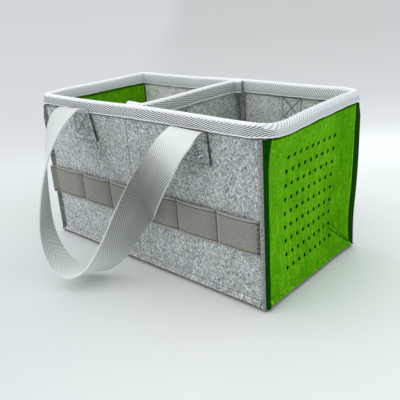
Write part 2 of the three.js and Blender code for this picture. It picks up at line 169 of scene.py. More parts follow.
# The length that the webbing's pattern is laid out on, and how far the right limb curls round a place on it
WEB_LENGTH = 495 * MM
CURL = 4.2 * MM
CURL_AT = 135 * MM
CURL_SPAN = 38 * MM

# Band
BAND_LINES = (-147 * MM, -95 * MM, -46.5 * MM, 2.5 * MM, 52.5 * MM, 101.5 * MM, 148.5 * MM)
BAND_BOTTOM = 53.5 * MM
BAND_HEIGHT = 32.5 * MM
BAND_BULGE = 3 * MM

# Tape: its reach down each side of the rim, half its width, and its path
TAPE_REACH = 13 * MM
TAPE_HALF = TAPE_REACH + (SIDE_FELT / 2 + TAPE + LAYER_GAP) * (math.pi / 2 - 1)
RIM_RADII = (5 * MM, 8 * MM, 9 * MM, 3.5 * MM)
RIM_DROP = 1.3 * MM
TAPE_PUFF = 0.45 * MM
TAPE_PINCH = 0.25 * MM
TAPE_JOIN_X = -50 * MM
TAPE_OVERLAP = 10 * MM
JOIN_LIFT = 1.05 * MM

# How much the tape's edges rise at the left front, at the right end, and inside along the left end
FRONT_RISE = 2.2 * MM
END_RISE = 1.3 * MM
INNER_RISE = 2 * MM

# How the tape takes the corners: its pleats inside, and how far its edge and its stitches flare outside
PLEAT = 0.45 * MM
EDGE_FLARE = 1.6 * MM
STITCH_FLARE = 1.4 * MM

# Photograph's view
CAMERA_AT = Vector((0.38666, -0.40051, 0.26559))
CAMERA_AZIMUTH = math.radians(43.38)
CAMERA_ELEVATION = math.radians(21.5)
CAMERA_ROLL = math.radians(-4.01)
CAMERA_LENS = 47.46
SENSOR = 36

# Soft right end: its middle caves in, its rim bulges out, its far edge stands out above a dent, and its
# near corner drops
CAVE_IN = 6 * MM
RIM_BULGE = 8.4 * MM
FAR_OUT = 1.8 * MM
DENT = 2.8 * MM
CORNER_DROP = 1.3 * MM

# The left end leans out, and the long walls bow out
LEFT_LEAN = 1.5 * MM
WALL_BOW = 0.8 * MM

# Light: the sky is brighter behind the box than on the camera's side
DARK_SKY = 0.52
BRIGHT_SKY = 1.30
LAMP_FROM = Vector((-0.15, -0.42, 0.9))
LAMP_SPREAD = math.radians(80)
LAMP_STRENGTH = 0.75


def smoothstep(low, high, value):
    share = min(max((value - low) / (high - low), 0.0), 1.0)
    return share * share * (3 - 2 * share)


def rgb(red, green, blue):
    """A colour as a screen shows it, 0 to 255, in the linear values that shaders take."""
    shares = [c / 255 for c in (red, green, blue)]
    return tuple(((c + 0.055) / 1.055) ** 2.4 if c > 0.04 else c / 12.92 for c in shares) + (1.0,)


def tones(*stops):
    """Greys of webbing for a ramp: pairs of place and brightness from 0 to 255."""
    return [(place, rgb(level, level + 4, level + 2)) for place, level in stops]


# Shaders


class Value:
    """A node's output socket that takes part in sums."""

    def __init__(self, paint, socket):
        self.paint = paint
        self.socket = socket

    def __add__(self, other):
        return self.paint.maths("ADD", self, other)

    __radd__ = __add__

    def __sub__(self, other):
        return self.paint.maths("SUBTRACT", self, other)

    def __rsub__(self, other):
        return self.paint.maths("SUBTRACT", other, self)

    def __mul__(self, other):
        return self.paint.maths("MULTIPLY", self, other)

    __rmul__ = __mul__

    def __truediv__(self, other):
        return self.paint.maths("DIVIDE", self, other)

    def __abs__(self):
        return self.paint.maths("ABSOLUTE", self)


class Paint:
    """One material, built node by node."""

    def __init__(self, name):
        self.material = bpy.data.materials.new(name)
        self.material.use_nodes = True
        self.tree = self.material.node_tree
        self.tree.nodes.clear()

    def node(self, kind, settings=None, inputs=None, out=0):
        """Adds a node with its settings, then its sockets' values or links. Gives one of its outputs."""
        made = self.tree.nodes.new(kind)
        for key, value in (settings or {}).items():
            if key == "stops":
                ramp = made.color_ramp.elements
                while len(ramp) < len(value):
                    ramp.new(1.0)
                for element, (position, colour) in zip(ramp, value):
                    element.position = position
                    element.color = colour
            else:
                setattr(made, key, value)
        for key, value in (inputs or {}).items():
            if isinstance(value, Value):
                self.tree.links.new(value.socket, made.inputs[key])
            else:
                made.inputs[key].default_value = value
        return Value(self, made.outputs[out]) if made.outputs else None

    def maths(self, operation, *operands):
        return self.node("ShaderNodeMath", {"operation": operation}, dict(enumerate(operands)))

    def place(self):
        return self.node("ShaderNodeTexCoord", out="Object")

    def cut(self):
        """Place on the flat cloth, in metres: X along it and Y across it."""
        return self.node("ShaderNodeUVMap", {"uv_map": "cut"})

    def on_cloth(self):
        """The same place as two values."""
        return self.parts(self.cut())[:2]

    def outside(self):
        """1 on the outer face of a sheet, 0 on its inner face."""
        return self.node("ShaderNodeAttribute", {"attribute_name": "outer"}, out="Fac")

    def parts(self, vector):
        split = self.node("ShaderNodeSeparateXYZ", None, {"Vector": vector})
        return [Value(self, out) for out in split.socket.node.outputs]

    def stretched(self, vector, scale, turn=(0.0, 0.0, 0.0)):
        return self.node("ShaderNodeMapping", None, {"Vector": vector, "Scale": scale, "Rotation": turn})

    def fibres(self, vector, scale, detail=2.0, roughness=0.6, distortion=0.0):
        return self.node("ShaderNodeTexNoise", None, {
            "Vector": vector, "Scale": scale, "Detail": detail,
            "Roughness": roughness, "Distortion": distortion,
        })

    def wave(self, phase):
        """From 0 to 1 and back as phase grows by one."""
        return self.maths("COSINE", phase * (2 * math.pi)) * 0.5 + 0.5

    def slants(self, along, across, run, rise):
        """Slanting ribs that repeat every run mm along the cloth and every rise mm across it."""
        return self.wave(along / (run * MM) + across / (rise * MM))

    def clamp(self, value, low, high):
        """0 below low, 1 above high, smooth between."""
        return self.node("ShaderNodeMapRange", {"interpolation_type": "SMOOTHSTEP"},
                         {"Value": value, "From Min": low, "From Max": high})

    def between(self, value, start, full, fade, end):
        """0 before start and past end, 1 from full to fade."""
        return self.clamp(value, start, full) * (1 - self.clamp(value, fade, end))

    def line(self, value, middle, half_width):
        """1 where value is at middle, 0 beyond half_width from it."""
        return 1 - self.clamp(abs(value - middle), half_width * 0.35, half_width)

    def stroke(self, x, y, start, end, half_width):
        """1 on the straight line from start towards end, where it fades out."""
        run = Vector(end) - Vector(start)
        length = run.length
        run.normalize()
        share = ((x - start[0]) * run.x + (y - start[1]) * run.y) / length
        off = (x - start[0]) * run.y - (y - start[1]) * run.x
        return self.line(off, 0.0, half_width) * self.between(share, -0.02, 0.02, 0.5, 1.0)

    def most(self, *values):
        """The largest of several values."""
        found = values[0]
        for value in values[1:]:
            found = self.maths("MAXIMUM", found, value)
        return found

    def ramp(self, value, *stops):
        return self.node("ShaderNodeValToRGB", {"stops": stops}, {"Fac": value})

    def mix(self, factor, first, second):
        """The first colour, and the second as factor goes to 1."""
        return self.node("ShaderNodeMix", {"data_type": "RGBA"}, {0: factor, 6: first, 7: second}, out=2)

    def cloth(self, colour, height, depth, roughness, sheen=0.0, specular=0.05, sheen_roughness=0.5):
        """Ends the material as cloth with that colour and relief."""
        normal = self.node("ShaderNodeBump", None, {"Height": height, "Distance": depth, "Strength": 1.0})
        shader = self.node("ShaderNodeBsdfPrincipled", None, {
            "Base Color": colour, "Roughness": roughness, "Normal": normal, "Specular IOR Level": specular,
            "Sheen Weight": sheen, "Sheen Roughness": sheen_roughness,
        })
        self.node("ShaderNodeOutputMaterial", None, {"Surface": shader})
        return self.material


class Sky(Paint):
    """The nodes of the world's background."""

    def __init__(self, world):
        self.tree = world.node_tree


def heather_felt(name, marks=None, painted_light=0.0, painted_light_inside=0.0):
    """Grey felt of pale fibres with darker curled ones among them, with painted shade darker towards +X.
    marks gives the share of dark: painted shade at folds, edges and under parts, and dark seams and
    stitches.
    The two lifts are painted light: the first makes the whole felt paler, or darker as painted shade below
    zero, the second makes its inner face paler, more so to the left."""
    paint = Paint(name)
    place = paint.place()
    clumps = paint.fibres(place, 360, detail=4.0, roughness=0.85, distortion=0.8)
    curls = paint.fibres(place, 210, detail=3.0, distortion=2.2)
    leaning = paint.stretched(place, (1, 1, 0.4), (0.5, 0.3, 0.0))
    hairs = paint.fibres(leaning, 900, detail=3.0, distortion=1.5)
    clouds = paint.fibres(place, 60)
    dark_hair = paint.line(curls, 0.5, 0.035)
    east = paint.parts(place)[0]
    # Painted light and shade: the first lift pales or darkens the whole felt, and the felt is painted darker
    # towards +X.
    mottle = clumps * 0.66 + hairs * 0.32 + clouds * 0.08 - 0.03 + painted_light - east * 0.08
    # Painted light on the inner face, stronger towards the left.
    west = paint.clamp(east, 10 * MM, -20 * MM)
    mottle = mottle + (1 - paint.outside()) * (west * 1.3 + 0.9) * painted_light_inside
    colour = paint.ramp(
        mottle,
        (0.37, rgb(88, 93, 93)),
        (0.45, rgb(166, 171, 171)),
        (0.53, rgb(218, 223, 222)),
        (0.63, rgb(255, 255, 255)),
    )
    colour = paint.mix(dark_hair * 0.68, colour, rgb(78, 82, 82))
    if marks is not None:
        # Painted shade at folds, edges and under parts, along with dark seams and stitches.
        colour = paint.mix(marks(paint), colour, rgb(52, 54, 54))
    return paint.cloth(colour, mottle - dark_hair * 0.1, 0.8 * MM, 0.95)


def cut_felt(name, dark, light):
    """The raw edge of a felt sheet, where the pressed fibres show end on."""
    paint = Paint(name)
    hairs = paint.fibres(paint.place(), 700, detail=3.0)
    colour = paint.ramp(hairs, (0.35, dark), (0.65, light))
    return paint.cloth(colour, hairs, 0.5 * MM, 0.98)


def green_felt():
    """Green felt with faint upright streaks, with painted shade at its folds and a painted highlight next to
    them.
    """
    paint = Paint("green_felt")
    place = paint.place()
    streaks = paint.fibres(paint.stretched(place, (1, 1, 0.1)), 520, distortion=0.4)
    clumps = paint.fibres(place, 420, detail=4.0, roughness=0.75, distortion=1.2)
    clouds = paint.fibres(paint.stretched(place, (1, 1, 0.5)), 30)
    mottle = streaks * 0.25 + clumps * 0.55 + clouds * 0.2
    colour = paint.ramp(
        mottle,
        (0.36, rgb(46, 120, 0)),
        (0.50, rgb(92, 168, 12)),
        (0.62, rgb(126, 200, 34)),
    )
    # Painted shade from the green ends' marks.
    colour = paint.mix(green_painted_shade(paint), colour, rgb(8, 52, 0))
    # Painted highlight: a pale line just inside each side fold.
    fold_highlight = paint.line(abs(paint.on_cloth()[0]), HALF_WIDTH - 2.2 * MM, 1.0 * MM)
    colour = paint.mix(fold_highlight * 0.4, colour, rgb(160, 226, 70))
    return paint.cloth(colour, mottle, 0.6 * MM, 0.92, specular=0.02)


def twill_tape():
    """Binding tape: a lattice of slanting dashes outside and slanting lines inside, between white selvedges.
    Its fold shows as a row of pale teeth. It is smoother on the right end. Outside at the near right corner
    it carries painted shade of pleats."""
    paint = Paint("twill_tape")
    along, across = paint.on_cloth()
    east, north, _ = paint.parts(paint.place())
    side = abs(across)
    inside = paint.clamp(across, 0.5 * MM, -0.5 * MM)
    smooth = paint.clamp(east, 150 * MM, 156 * MM)
    narrow = paint.slants(along, across, 4.3, 1.9)
    wide = paint.slants(along, across, 8.0, -1.9)
    dashes = paint.clamp(narrow * 0.56 + wide * 0.44, 0.34, 0.74)
    lines = paint.clamp(paint.slants(along, across, 2.6, -3.6), 0.4, 0.95)
    corner = paint.clamp(east, 122 * MM, 138 * MM) * (1 - paint.clamp(north, -76 * MM, -60 * MM))
    corner = corner * (1 - inside)
    # Painted shade of the pleats where the tape puckers at the near right corner, drawn outside in place of
    # its weave.
    pleats = paint.clamp(paint.slants(east, across, 4.4, 1.95), 0.2, 0.8)
    weave = dashes * (1 - inside) * (1 - corner) + lines * inside * 0.6 + pleats * corner
    selvedge = paint.clamp(side, TAPE_HALF - 1.9 * MM, TAPE_HALF - 1.2 * MM)
    fold = 1 - paint.clamp(side - smooth * 3.0 * MM, 2.4 * MM, 3.8 * MM)
    teeth = paint.clamp(paint.slants(along, across, 3.3, 4.5), 0.2, 0.75)
    plain = smooth * (1 - corner)
    weave = weave * (1 - selvedge) * (1 - fold) * (1 - plain * 0.9)
    weave = weave + fold * (1 - teeth) * (smooth * 0.15 + 0.25)
    fine = paint.fibres(paint.cut(), 1500)
    colour = paint.mix(weave, rgb(246, 250, 252), rgb(40, 45, 48))
    colour = paint.mix(plain * 0.8, colour, rgb(188, 192, 198))
    pale = paint.most(selvedge, fold * teeth)
    tinted = paint.mix(pale * 0.9, colour, rgb(250, 252, 253))
    tinted = paint.mix(fine * 0.2, tinted, rgb(225, 228, 232))
    return paint.cloth(tinted, 1 - weave * 0.8 + fine * 0.2, 0.55 * MM, 0.6)


def handle_webbing():
    """Webbing: herringbone twill with thin bright edges and faint ribs across one half.
    Its tones along the strap are painted light: paler at its folds, at its lowest part and on its inner
    face, with painted shade in the middle of the right limb and down one half of it."""
    paint = Paint("handle_webbing")
    along, across = paint.on_cloth()
    outer = paint.outside()
    share = along / WEB_LENGTH
    half = paint.clamp(across, -3 * MM, 3 * MM)
    rising = paint.slants(along, across, 6.2, 2.15)
    steep = paint.slants(along, across, 2.4, -5.3)
    falling = paint.slants(along, across, 3.4, -3.1)
    wander = paint.fibres(paint.cut(), 80)
    ribs = paint.clamp(paint.wave(along / (5.2 * MM) + wander * 0.4), 0.45, 1.0)
    ribs = ribs * paint.clamp(wander, 0.35, 0.6)
    fine = paint.fibres(paint.cut(), 1100, detail=3.0)
    strengths = ((0.09, 0.2), (0.12, 0.8), (0.15, 1.0), (0.38, 0.9), (0.43, 0.3))
    twill = paint.ramp(share, *[(place, (level, level, level, 1.0)) for place, level in strengths])
    upper = (steep - 0.5) * paint.between(share, 0.10, 0.12, 0.155, 0.185) * 0.9
    lower = (falling - 0.5) * paint.between(share, 0.26, 0.32, 0.40, 0.46) * 0.8
    ribbed = ribs * paint.between(share, 0.16, 0.20, 0.27, 0.33) * 0.35
    slants = (rising - 0.5) * half * twill + (upper + lower - ribbed) * (1 - half)
    outer_weave = slants + fine * 0.3 + 0.35
    # Painted light: the outer face's tones along the strap, pale at the folds and lowest part, dark in the
    # middle of the right limb.
    dark = paint.ramp(share, *tones(
        (0.0, 140), (0.085, 190), (0.12, 168), (0.147, 92), (0.17, 72), (0.20, 78),
        (0.25, 84), (0.30, 92), (0.345, 108), (0.39, 134), (0.46, 214), (1.0, 146),
    ))
    pale = paint.ramp(share, *tones(
        (0.0, 200), (0.085, 248), (0.12, 246), (0.147, 206), (0.17, 180), (0.20, 148),
        (0.25, 134), (0.30, 154), (0.345, 190), (0.39, 210), (0.46, 255), (1.0, 212),
    ))
    outer_colour = paint.mix(outer_weave, dark, pale)
    # Painted shade down one half of the right limb, where it curls.
    shade = paint.between(share, 0.14, 0.17, 0.36, 0.40) * half
    outer_colour = paint.mix(shade * 0.15, outer_colour, rgb(60, 63, 61))
    # Painted light: the inner face's tones along the strap, palest at the loop's bottom.
    inner_dark_painted_light = paint.ramp(share, *tones(
        (0.40, 240), (0.50, 250), (0.57, 190), (0.63, 134),
        (0.72, 124), (0.80, 154), (0.86, 190), (1.0, 184),
    ))
    inner_pale_painted_light = paint.ramp(share, *tones(
        (0.40, 255), (0.55, 253), (0.63, 184), (0.72, 174),
        (0.80, 198), (0.86, 228), (1.0, 226),
    ))
    zigzag = abs(across) / (9 * MM)
    cross = paint.clamp(paint.wave(along / (5.6 * MM) + zigzag + wander * 0.5), 0.25, 0.95)
    inner_weave = fine * 0.5 + 0.45 - cross * 0.35
    inner_colour = paint.mix(inner_weave, inner_dark_painted_light, inner_pale_painted_light)
    colour = paint.mix(outer, inner_colour, outer_colour)
    colour = paint.mix(0.03, colour, rgb(190, 215, 200))
    edge = paint.clamp(abs(across), WEB_HALF - 0.9 * MM, WEB_HALF - 0.5 * MM)
    sewn = paint.most(1 - paint.clamp(share, 0.075, 0.085), paint.clamp(share, 0.915, 0.925))
    colour = paint.mix(edge * (1 - sewn) * 0.6, colour, rgb(232, 236, 235))
    colour = paint.mix(edge * sewn * 0.8, colour, rgb(58, 60, 60))
    relief = outer_weave * outer + inner_weave * (1 - outer)
    return paint.cloth(colour, relief * (1 - edge) + edge, 0.35 * MM, 0.4, 0.6, 0.6, 0.35)


def band_webbing():
    """Band: dense fine ribs, a dark line inside each hem, and a dark line at each sewn line, with painted
    shade on each cell towards it and a pale painted highlight just past it.
    """
    paint = Paint("band_webbing")
    along, across = paint.on_cloth()
    ribs = paint.wave(along / (1.1 * MM)) * 0.5 + paint.wave(across / (1.0 * MM)) * 0.5
    fine = paint.fibres(paint.cut(), 900, detail=3.0)
    edge = BAND_HEIGHT / 2 - abs(across)
    line = paint.between(edge, 2.9 * MM, 2.3 * MM, 2.0 * MM, 1.5 * MM)
    coarse = paint.fibres(paint.cut(), 500, detail=3.0)
    grain = paint.clamp(ribs * 0.3 + fine * 0.4 + coarse * 0.3, 0.3, 0.72)
    colour = paint.mix(grain, rgb(108, 107, 100), rgb(172, 171, 162))
    lined = paint.mix(line * 0.8, colour, rgb(70, 70, 64))
    hem = paint.clamp(edge, 1.5 * MM, 0.9 * MM)
    lined = paint.mix(hem * 0.5, lined, rgb(186, 184, 176))
    shade = rgb(74, 74, 68)
    # Painted shade and highlight: each cell darkens towards its right sewn line, and a pale line lies just
    # past each one, where the swollen cells turn from and to the light.
    for place in BAND_LINES[1:]:
        left = paint.between(along, place - 12 * MM, place, place, place + 1 * MM)
        lined = paint.mix(left * 0.22, lined, shade)
        lined = paint.mix(paint.line(along, place, 1.3 * MM) * 0.6, lined, shade)
        lined = paint.mix(paint.line(along, place + 2.3 * MM, 1.3 * MM) * 0.5, lined, rgb(176, 174, 166))
    return paint.cloth(lined, ribs * 0.4 + fine * 0.6 - line, 0.3 * MM, 0.75, 0.2)


def thread_paint(name, dark, light):
    paint = Paint(name)
    twist = paint.fibres(paint.place(), 1800, detail=1.0)
    return paint.cloth(paint.mix(twist, dark, light), twist, 0.1 * MM, 0.6, 0.2)


# Mesh code


def stations(start, *runs):
    """Positions from start on, through runs of (end, steps)."""
    found = [start]
    for end, steps in runs:
        found.extend(np.linspace(found[-1], end, steps + 1)[1:])
    return found


def mirrored(*runs):
    """Stations that are even about zero, given from the middle outwards."""
    half = stations(0.0, *runs)
    return [-value for value in half[:0:-1]] + half


def flat_grid(columns, rows):
    """A flat grid of faces whose columns and rows lie at the given stations."""
    mesh = bmesh.new()
    bmesh.ops.create_grid(mesh, x_segments=len(columns) - 1, y_segments=len(rows) - 1, size=1)
    for vert in mesh.verts:
        column = round((vert.co.x + 1) / 2 * (len(columns) - 1))
        row = round((vert.co.y + 1) / 2 * (len(rows) - 1))
        vert.co = (columns[column], rows[row], 0)
    return mesh


def punch(mesh, across, up):
    """Cuts a round hole through the block of grid faces round one place of an end wall."""
    centre = Vector((across, up, 0))
    block = []
    for face in mesh.faces:
        off = face.calc_center_median() - centre
        if abs(off.x) < HOLE_ACROSS / 2 and abs(off.y) < HOLE_UP / 2:
            block.append(face)
    merged = bmesh.ops.dissolve_faces(mesh, faces=block)["region"][0]
    bmesh.ops.inset_individual(mesh, faces=[merged], thickness=HOLE_LIP)
    step = 2 * math.pi / len(merged.verts)
    for vert in merged.verts:
        angle = round(math.atan2(vert.co.y - up, vert.co.x - across) / step) * step
        vert.co.x = across + HOLE_RADIUS * math.cos(angle)
        vert.co.y = up + HOLE_RADIUS * math.sin(angle)
    bmesh.ops.delete(mesh, geom=[merged], context="FACES")


def groove(value, middle, width, depth):
    """How far the felt is pressed in at value by a groove of that width round middle."""
    share = (value - middle) / width
    return -depth * math.exp(-share * share * 4)


def sew(name, mesh, place, thickness, nodes, materials, outer_first=True, body="body", relief=None,
        bevel=0.35 * MM):
    """Bends a flat grid into place, gives it its thickness and rounds its raw edges.
    place takes the flat coordinates to a point on the grid's face: the outer one if outer_first."""
    mesh.verts.layers.float.new("outer")
    flat = mesh.verts.layers.float_vector.new("flat")
    cut = mesh.loops.layers.uv.new("cut")
    for face in mesh.faces:
        for loop in face.loops:
            loop[cut].uv = loop.vert.co.xy
    for vert in mesh.verts:
        vert[flat] = vert.co
        vert.co = place(vert.co.x, vert.co.y)
    if not outer_first:
        bmesh.ops.reverse_faces(mesh, faces=mesh.faces)
    mesh.normal_update()
    first = set(mesh.faces)
    bmesh.ops.solidify(mesh, geom=mesh.faces[:], thickness=thickness)
    mesh.normal_update()
    first_verts = {vert for face in first for vert in face.verts}
    first_side = [vert in first_verts for vert in mesh.verts]
    mesh.verts.index_update()
    outer = mesh.verts.layers.float["outer"]
    for vert, is_first in zip(mesh.verts, first_side):
        vert[outer] = float(is_first == outer_first)
        if relief is not None and is_first == outer_first:
            vert.co += vert.normal * relief(vert[flat].x, vert[flat].y)
    raw = {face for face in mesh.faces if len({first_side[vert.index] for vert in face.verts}) == 2}
    for face in raw:
        face.material_index = len(materials) - 1
    ends = [edge for edge in mesh.edges if len(raw.intersection(edge.link_faces)) == 1]
    bmesh.ops.bevel(mesh, geom=ends, offset=bevel, segments=2, profile=0.5, affect="EDGES", material=-1)
    return finish_piece(name, mesh, body, nodes, materials)


def soften(points):
    """Takes points of the stiff model to where the soft cloth lies: bowed walls, soft ends, a wavy rim."""
    x, y, z = points[:, 0], points[:, 1], points[:, 2]

    def ease(low, high, value):
        share = np.clip((value - low) / (high - low), 0, 1)
        return share * share * (3 - 2 * share)

    near_wall = ease(0.4 * HALF_WIDTH, HALF_WIDTH, np.abs(y)) * (1 - ease(100 * MM, 120 * MM, np.abs(y)))
    near_end = ease(0.5 * HALF_LENGTH, HALF_LENGTH, np.abs(x))
    height = ease(30 * MM, 165 * MM, z)
    between_ends = np.cos(np.clip(x / HALF_LENGTH, -1, 1) * math.pi / 2)
    right = (x > 0) * near_end
    left = (x < 0) * near_end
    bow = np.sin(np.clip(z / RIM_TOP, 0, 1) * math.pi)
    middle = 1 - np.clip(np.abs(y) / HALF_WIDTH, 0, 1) ** 4
    along_end = np.clip((y + 1.03 * HALF_WIDTH) / (2.06 * HALF_WIDTH), 0, 1)
    near_corner = np.exp(-((y + 58 * MM) / (20 * MM)) ** 2)
    moved = points.copy()
    moved[:, 0] -= right * middle * np.sin(np.clip(z / (150 * MM), 0, 1) * math.pi) * CAVE_IN
    moved[:, 0] += right * np.sin(along_end ** 0.46 * math.pi) * ease(126 * MM, 160 * MM, z) * RIM_BULGE
    far_corner = ease(45 * MM, 74 * MM, y) * ease(20 * MM, 110 * MM, z)
    soft_spot = np.exp(-((y - 45 * MM) / (30 * MM)) ** 2 - ((z - 36 * MM) / (28 * MM)) ** 2)
    moved[:, 0] += right * (far_corner * FAR_OUT - soft_spot * DENT)
    moved[:, 2] -= right * near_corner * ease(140 * MM, 168 * MM, z) * CORNER_DROP
    moved[:, 0] -= left * middle * height * LEFT_LEAN
    moved[:, 1] += np.sign(y) * near_wall * between_ends * bow * WALL_BOW
    wave = np.sin(x / (31 * MM) + 0.8) * 0.5 * MM + np.sin(y / (23 * MM) + x / (80 * MM)) * 0.4 * MM
    moved[:, 2] += ease(140 * MM, 165 * MM, z) * wave * (1 - ease(85 * MM, 100 * MM, np.abs(y)))
    return moved


def finish_piece(name, mesh, body, nodes, materials):
    """Ends a piece: softened, shaded, linked, and riding on its body in the place of its solids."""
    data = bpy.data.meshes.new(name)
    mesh.to_mesh(data)
    mesh.free()
    points = np.empty(len(data.vertices) * 3, np.float32)
    data.vertices.foreach_get("co", points)
    data.vertices.foreach_set("co", soften(points.reshape(-1, 3).astype(float)).astype(np.float32).ravel())
    data.polygons.foreach_set("use_smooth", [True] * len(data.polygons))
    for material in materials:
        data.materials.append(material)
    data.update()
    piece = bpy.data.objects.new(name, data)
    bpy.context.scene.collection.objects.link(piece)
    if body is not None:
        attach(piece, body)
    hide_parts(*nodes)
    return piece


def turned_out(run, radius):
    """How far along and how far out a sheet lies that turns out at 45 degrees where run passes zero."""
    set_back = radius * MITRE
    arc = radius * math.pi / 4
    past = run + set_back
    if past <= 0:
        return run, 0.0
    bent = min(past, arc)
    straight = (past - bent) * DIAGONAL
    return (
        radius * math.sin(bent / radius) - set_back + straight,
        radius * (1 - math.cos(bent / radius)) + straight,
    )


# Materials


def fold_shade_lines(paint, half_span, width, shade_under_tape):
    """Painted shade: dark lines along a wall's side and bottom folds, and one under the rim tape, as dark as
    the share given for it.
    """
    along, up = paint.on_cloth()
    return paint.most(
        paint.line(abs(along), half_span - 0.4 * MM, width) * 0.6,
        paint.line(up, LIFT + 0.4 * MM, width) * 0.6,
        paint.line(up, TAPE_BOTTOM - 0.7 * MM, width + 0.3 * MM) * shade_under_tape,
    )


def front_marks(paint):
    """The front wall: its two seams, and painted shade at its folds, under the tape, below the left patch
    and on its turned left edge.
    """
    along, up = paint.on_cloth()
    seams = [paint.line(along, seam, 1.2 * MM) * 0.4 for seam in FRONT_SEAMS]
    # Painted shadow below the left patch, as a soft dark stroke.
    soft_spot = paint.stroke(along, up, (-56 * MM, TAPE_BOTTOM - 30 * MM), (-44 * MM, 82 * MM), 9 * MM)
    # Painted shade on the turned-out left edge.
    turned = paint.clamp(along, -HALF_LENGTH - 0.4 * MM, -HALF_LENGTH - 1.6 * MM)
    return paint.most(fold_shade_lines(paint, HALF_LENGTH, 1.5 * MM, 0.5), *seams, soft_spot * 0.16, turned * 0.7)


def back_marks(paint):
    """The back wall: its seam, the boxes sewn through it at both patches, and painted shade at its folds and
    under the rim tape.
    """
    along, up = paint.on_cloth()
    seam = paint.line(along, -BACK_SEAM, 1.2 * MM)
    boxes = box_lines(paint, abs(along) - BACK_BOX_X, up)
    return paint.most(fold_shade_lines(paint, HALF_LENGTH, 1.5 * MM, 0.5), seam * 0.4, boxes * 0.6)


def green_painted_shade(paint):
    """Painted shade on the green ends: at their folds and turned edges, in two creases pressed in near a
    bottom corner, and darker towards their far side.
    """
    along, up = paint.on_cloth()
    turned = paint.clamp(abs(along), HALF_WIDTH + 0.2 * MM, HALF_WIDTH + 1.2 * MM)
    # Painted shade: darker towards the far side, with dark turned edges, folds and creases.
    return 0.09 * paint.clamp(along, -10 * MM, 70 * MM) + paint.most(
        turned * 0.86,
        fold_shade_lines(paint, HALF_WIDTH, 1.3 * MM, 0.75),
        paint.stroke(along, up, CREASE_FROM, CREASES[0], 1.1 * MM) * 0.7,
        paint.stroke(along, up, CREASE_FROM, CREASES[1], 0.9 * MM) * 0.5,
    )


def box_lines(paint, across, up):
    """A sewn box with a cross in it."""
    half_up = (BOX_Z[1] - BOX_Z[0]) / 2
    side = abs(across)
    rise = abs(up - BOX_MIDDLE)
    inside = 1 - paint.clamp(side, BOX_HALF, BOX_HALF + 1 * MM)
    inside = inside * (1 - paint.clamp(rise, half_up, half_up + 1 * MM))
    lines = paint.most(
        paint.line(side, BOX_HALF, 1.3 * MM),
        paint.line(rise, half_up, 1.3 * MM),
        paint.line(side, rise, 1.6 * MM),
    )
    return lines * inside


def flange_shade_marks(paint):
    """Painted shade on the divider's back flange, with its seam drawn dark down the middle."""
    along = paint.on_cloth()[0]
    # Painted shade: the flange stands in shadow.
    flange = paint.clamp(along, 155 * MM, 159 * MM)
    return flange * 0.45 + paint.line(along, 163 * MM, 1.2 * MM) * 0.3


def patch_marks(strength):
    """A patch is dark at its stitches, by that share, and has painted shade along its bottom and right
    edges, where it stands off the wall.
    """
    def marks(paint):
        across, up = paint.on_cloth()
        return paint.most(
            box_lines(paint, across, up) * strength,
            # Painted shade along the patch's bottom and right edges.
            paint.line(up, PATCH_Z[0], 1.0 * MM) * 0.7,
            paint.line(across, PATCH_HALF, 1.4 * MM) * 0.85,
        )
    return marks


felt = heather_felt("heather_felt")
front_felt = heather_felt("front_heather", front_marks)
# Painted light: the back wall's inner face is painted paler.
back_felt = heather_felt("back_heather", back_marks, painted_light_inside=0.07)
# Painted light: the divider is painted a little paler, and paler still on its inner face.
divider_paint = heather_felt("divider_heather", flange_shade_marks, 0.01, 0.04)
patch_paint = heather_felt("patch_heather", patch_marks(0.3))
# Painted shade: the right patches' felt is darker, as if shaded by the loop above, and their stitches are
# marked more strongly.
shaded_rough_patch_paint = heather_felt("shaded_rough_patch_heather", patch_marks(0.6), -0.02)
felt_edge = cut_felt("heather_edge", rgb(110, 110, 108), rgb(170, 170, 167))
# Painted shade: a darker copy of the cut felt edge, for the base's edges and the patches' sides that lie in
# shadow.
shaded_felt_edge = cut_felt("shaded_felt_edge", rgb(52, 54, 52), rgb(96, 98, 95))
green = green_felt()
green_edge = cut_felt("green_edge", rgb(0, 46, 0), rgb(14, 82, 0))
tape_paint = twill_tape()
web_paint = handle_webbing()
band_paint = band_webbing()
grey_thread = thread_paint("grey_thread", rgb(118, 122, 122), rgb(170, 174, 174))
dark_thread = thread_paint("dark_thread", rgb(44, 46, 42), rgb(76, 78, 72))
pale_thread = thread_paint("pale_thread", rgb(214, 218, 218), rgb(250, 252, 252))
green_thread = thread_paint("green_thread", rgb(18, 74, 6), rgb(44, 112, 14))


# Walls


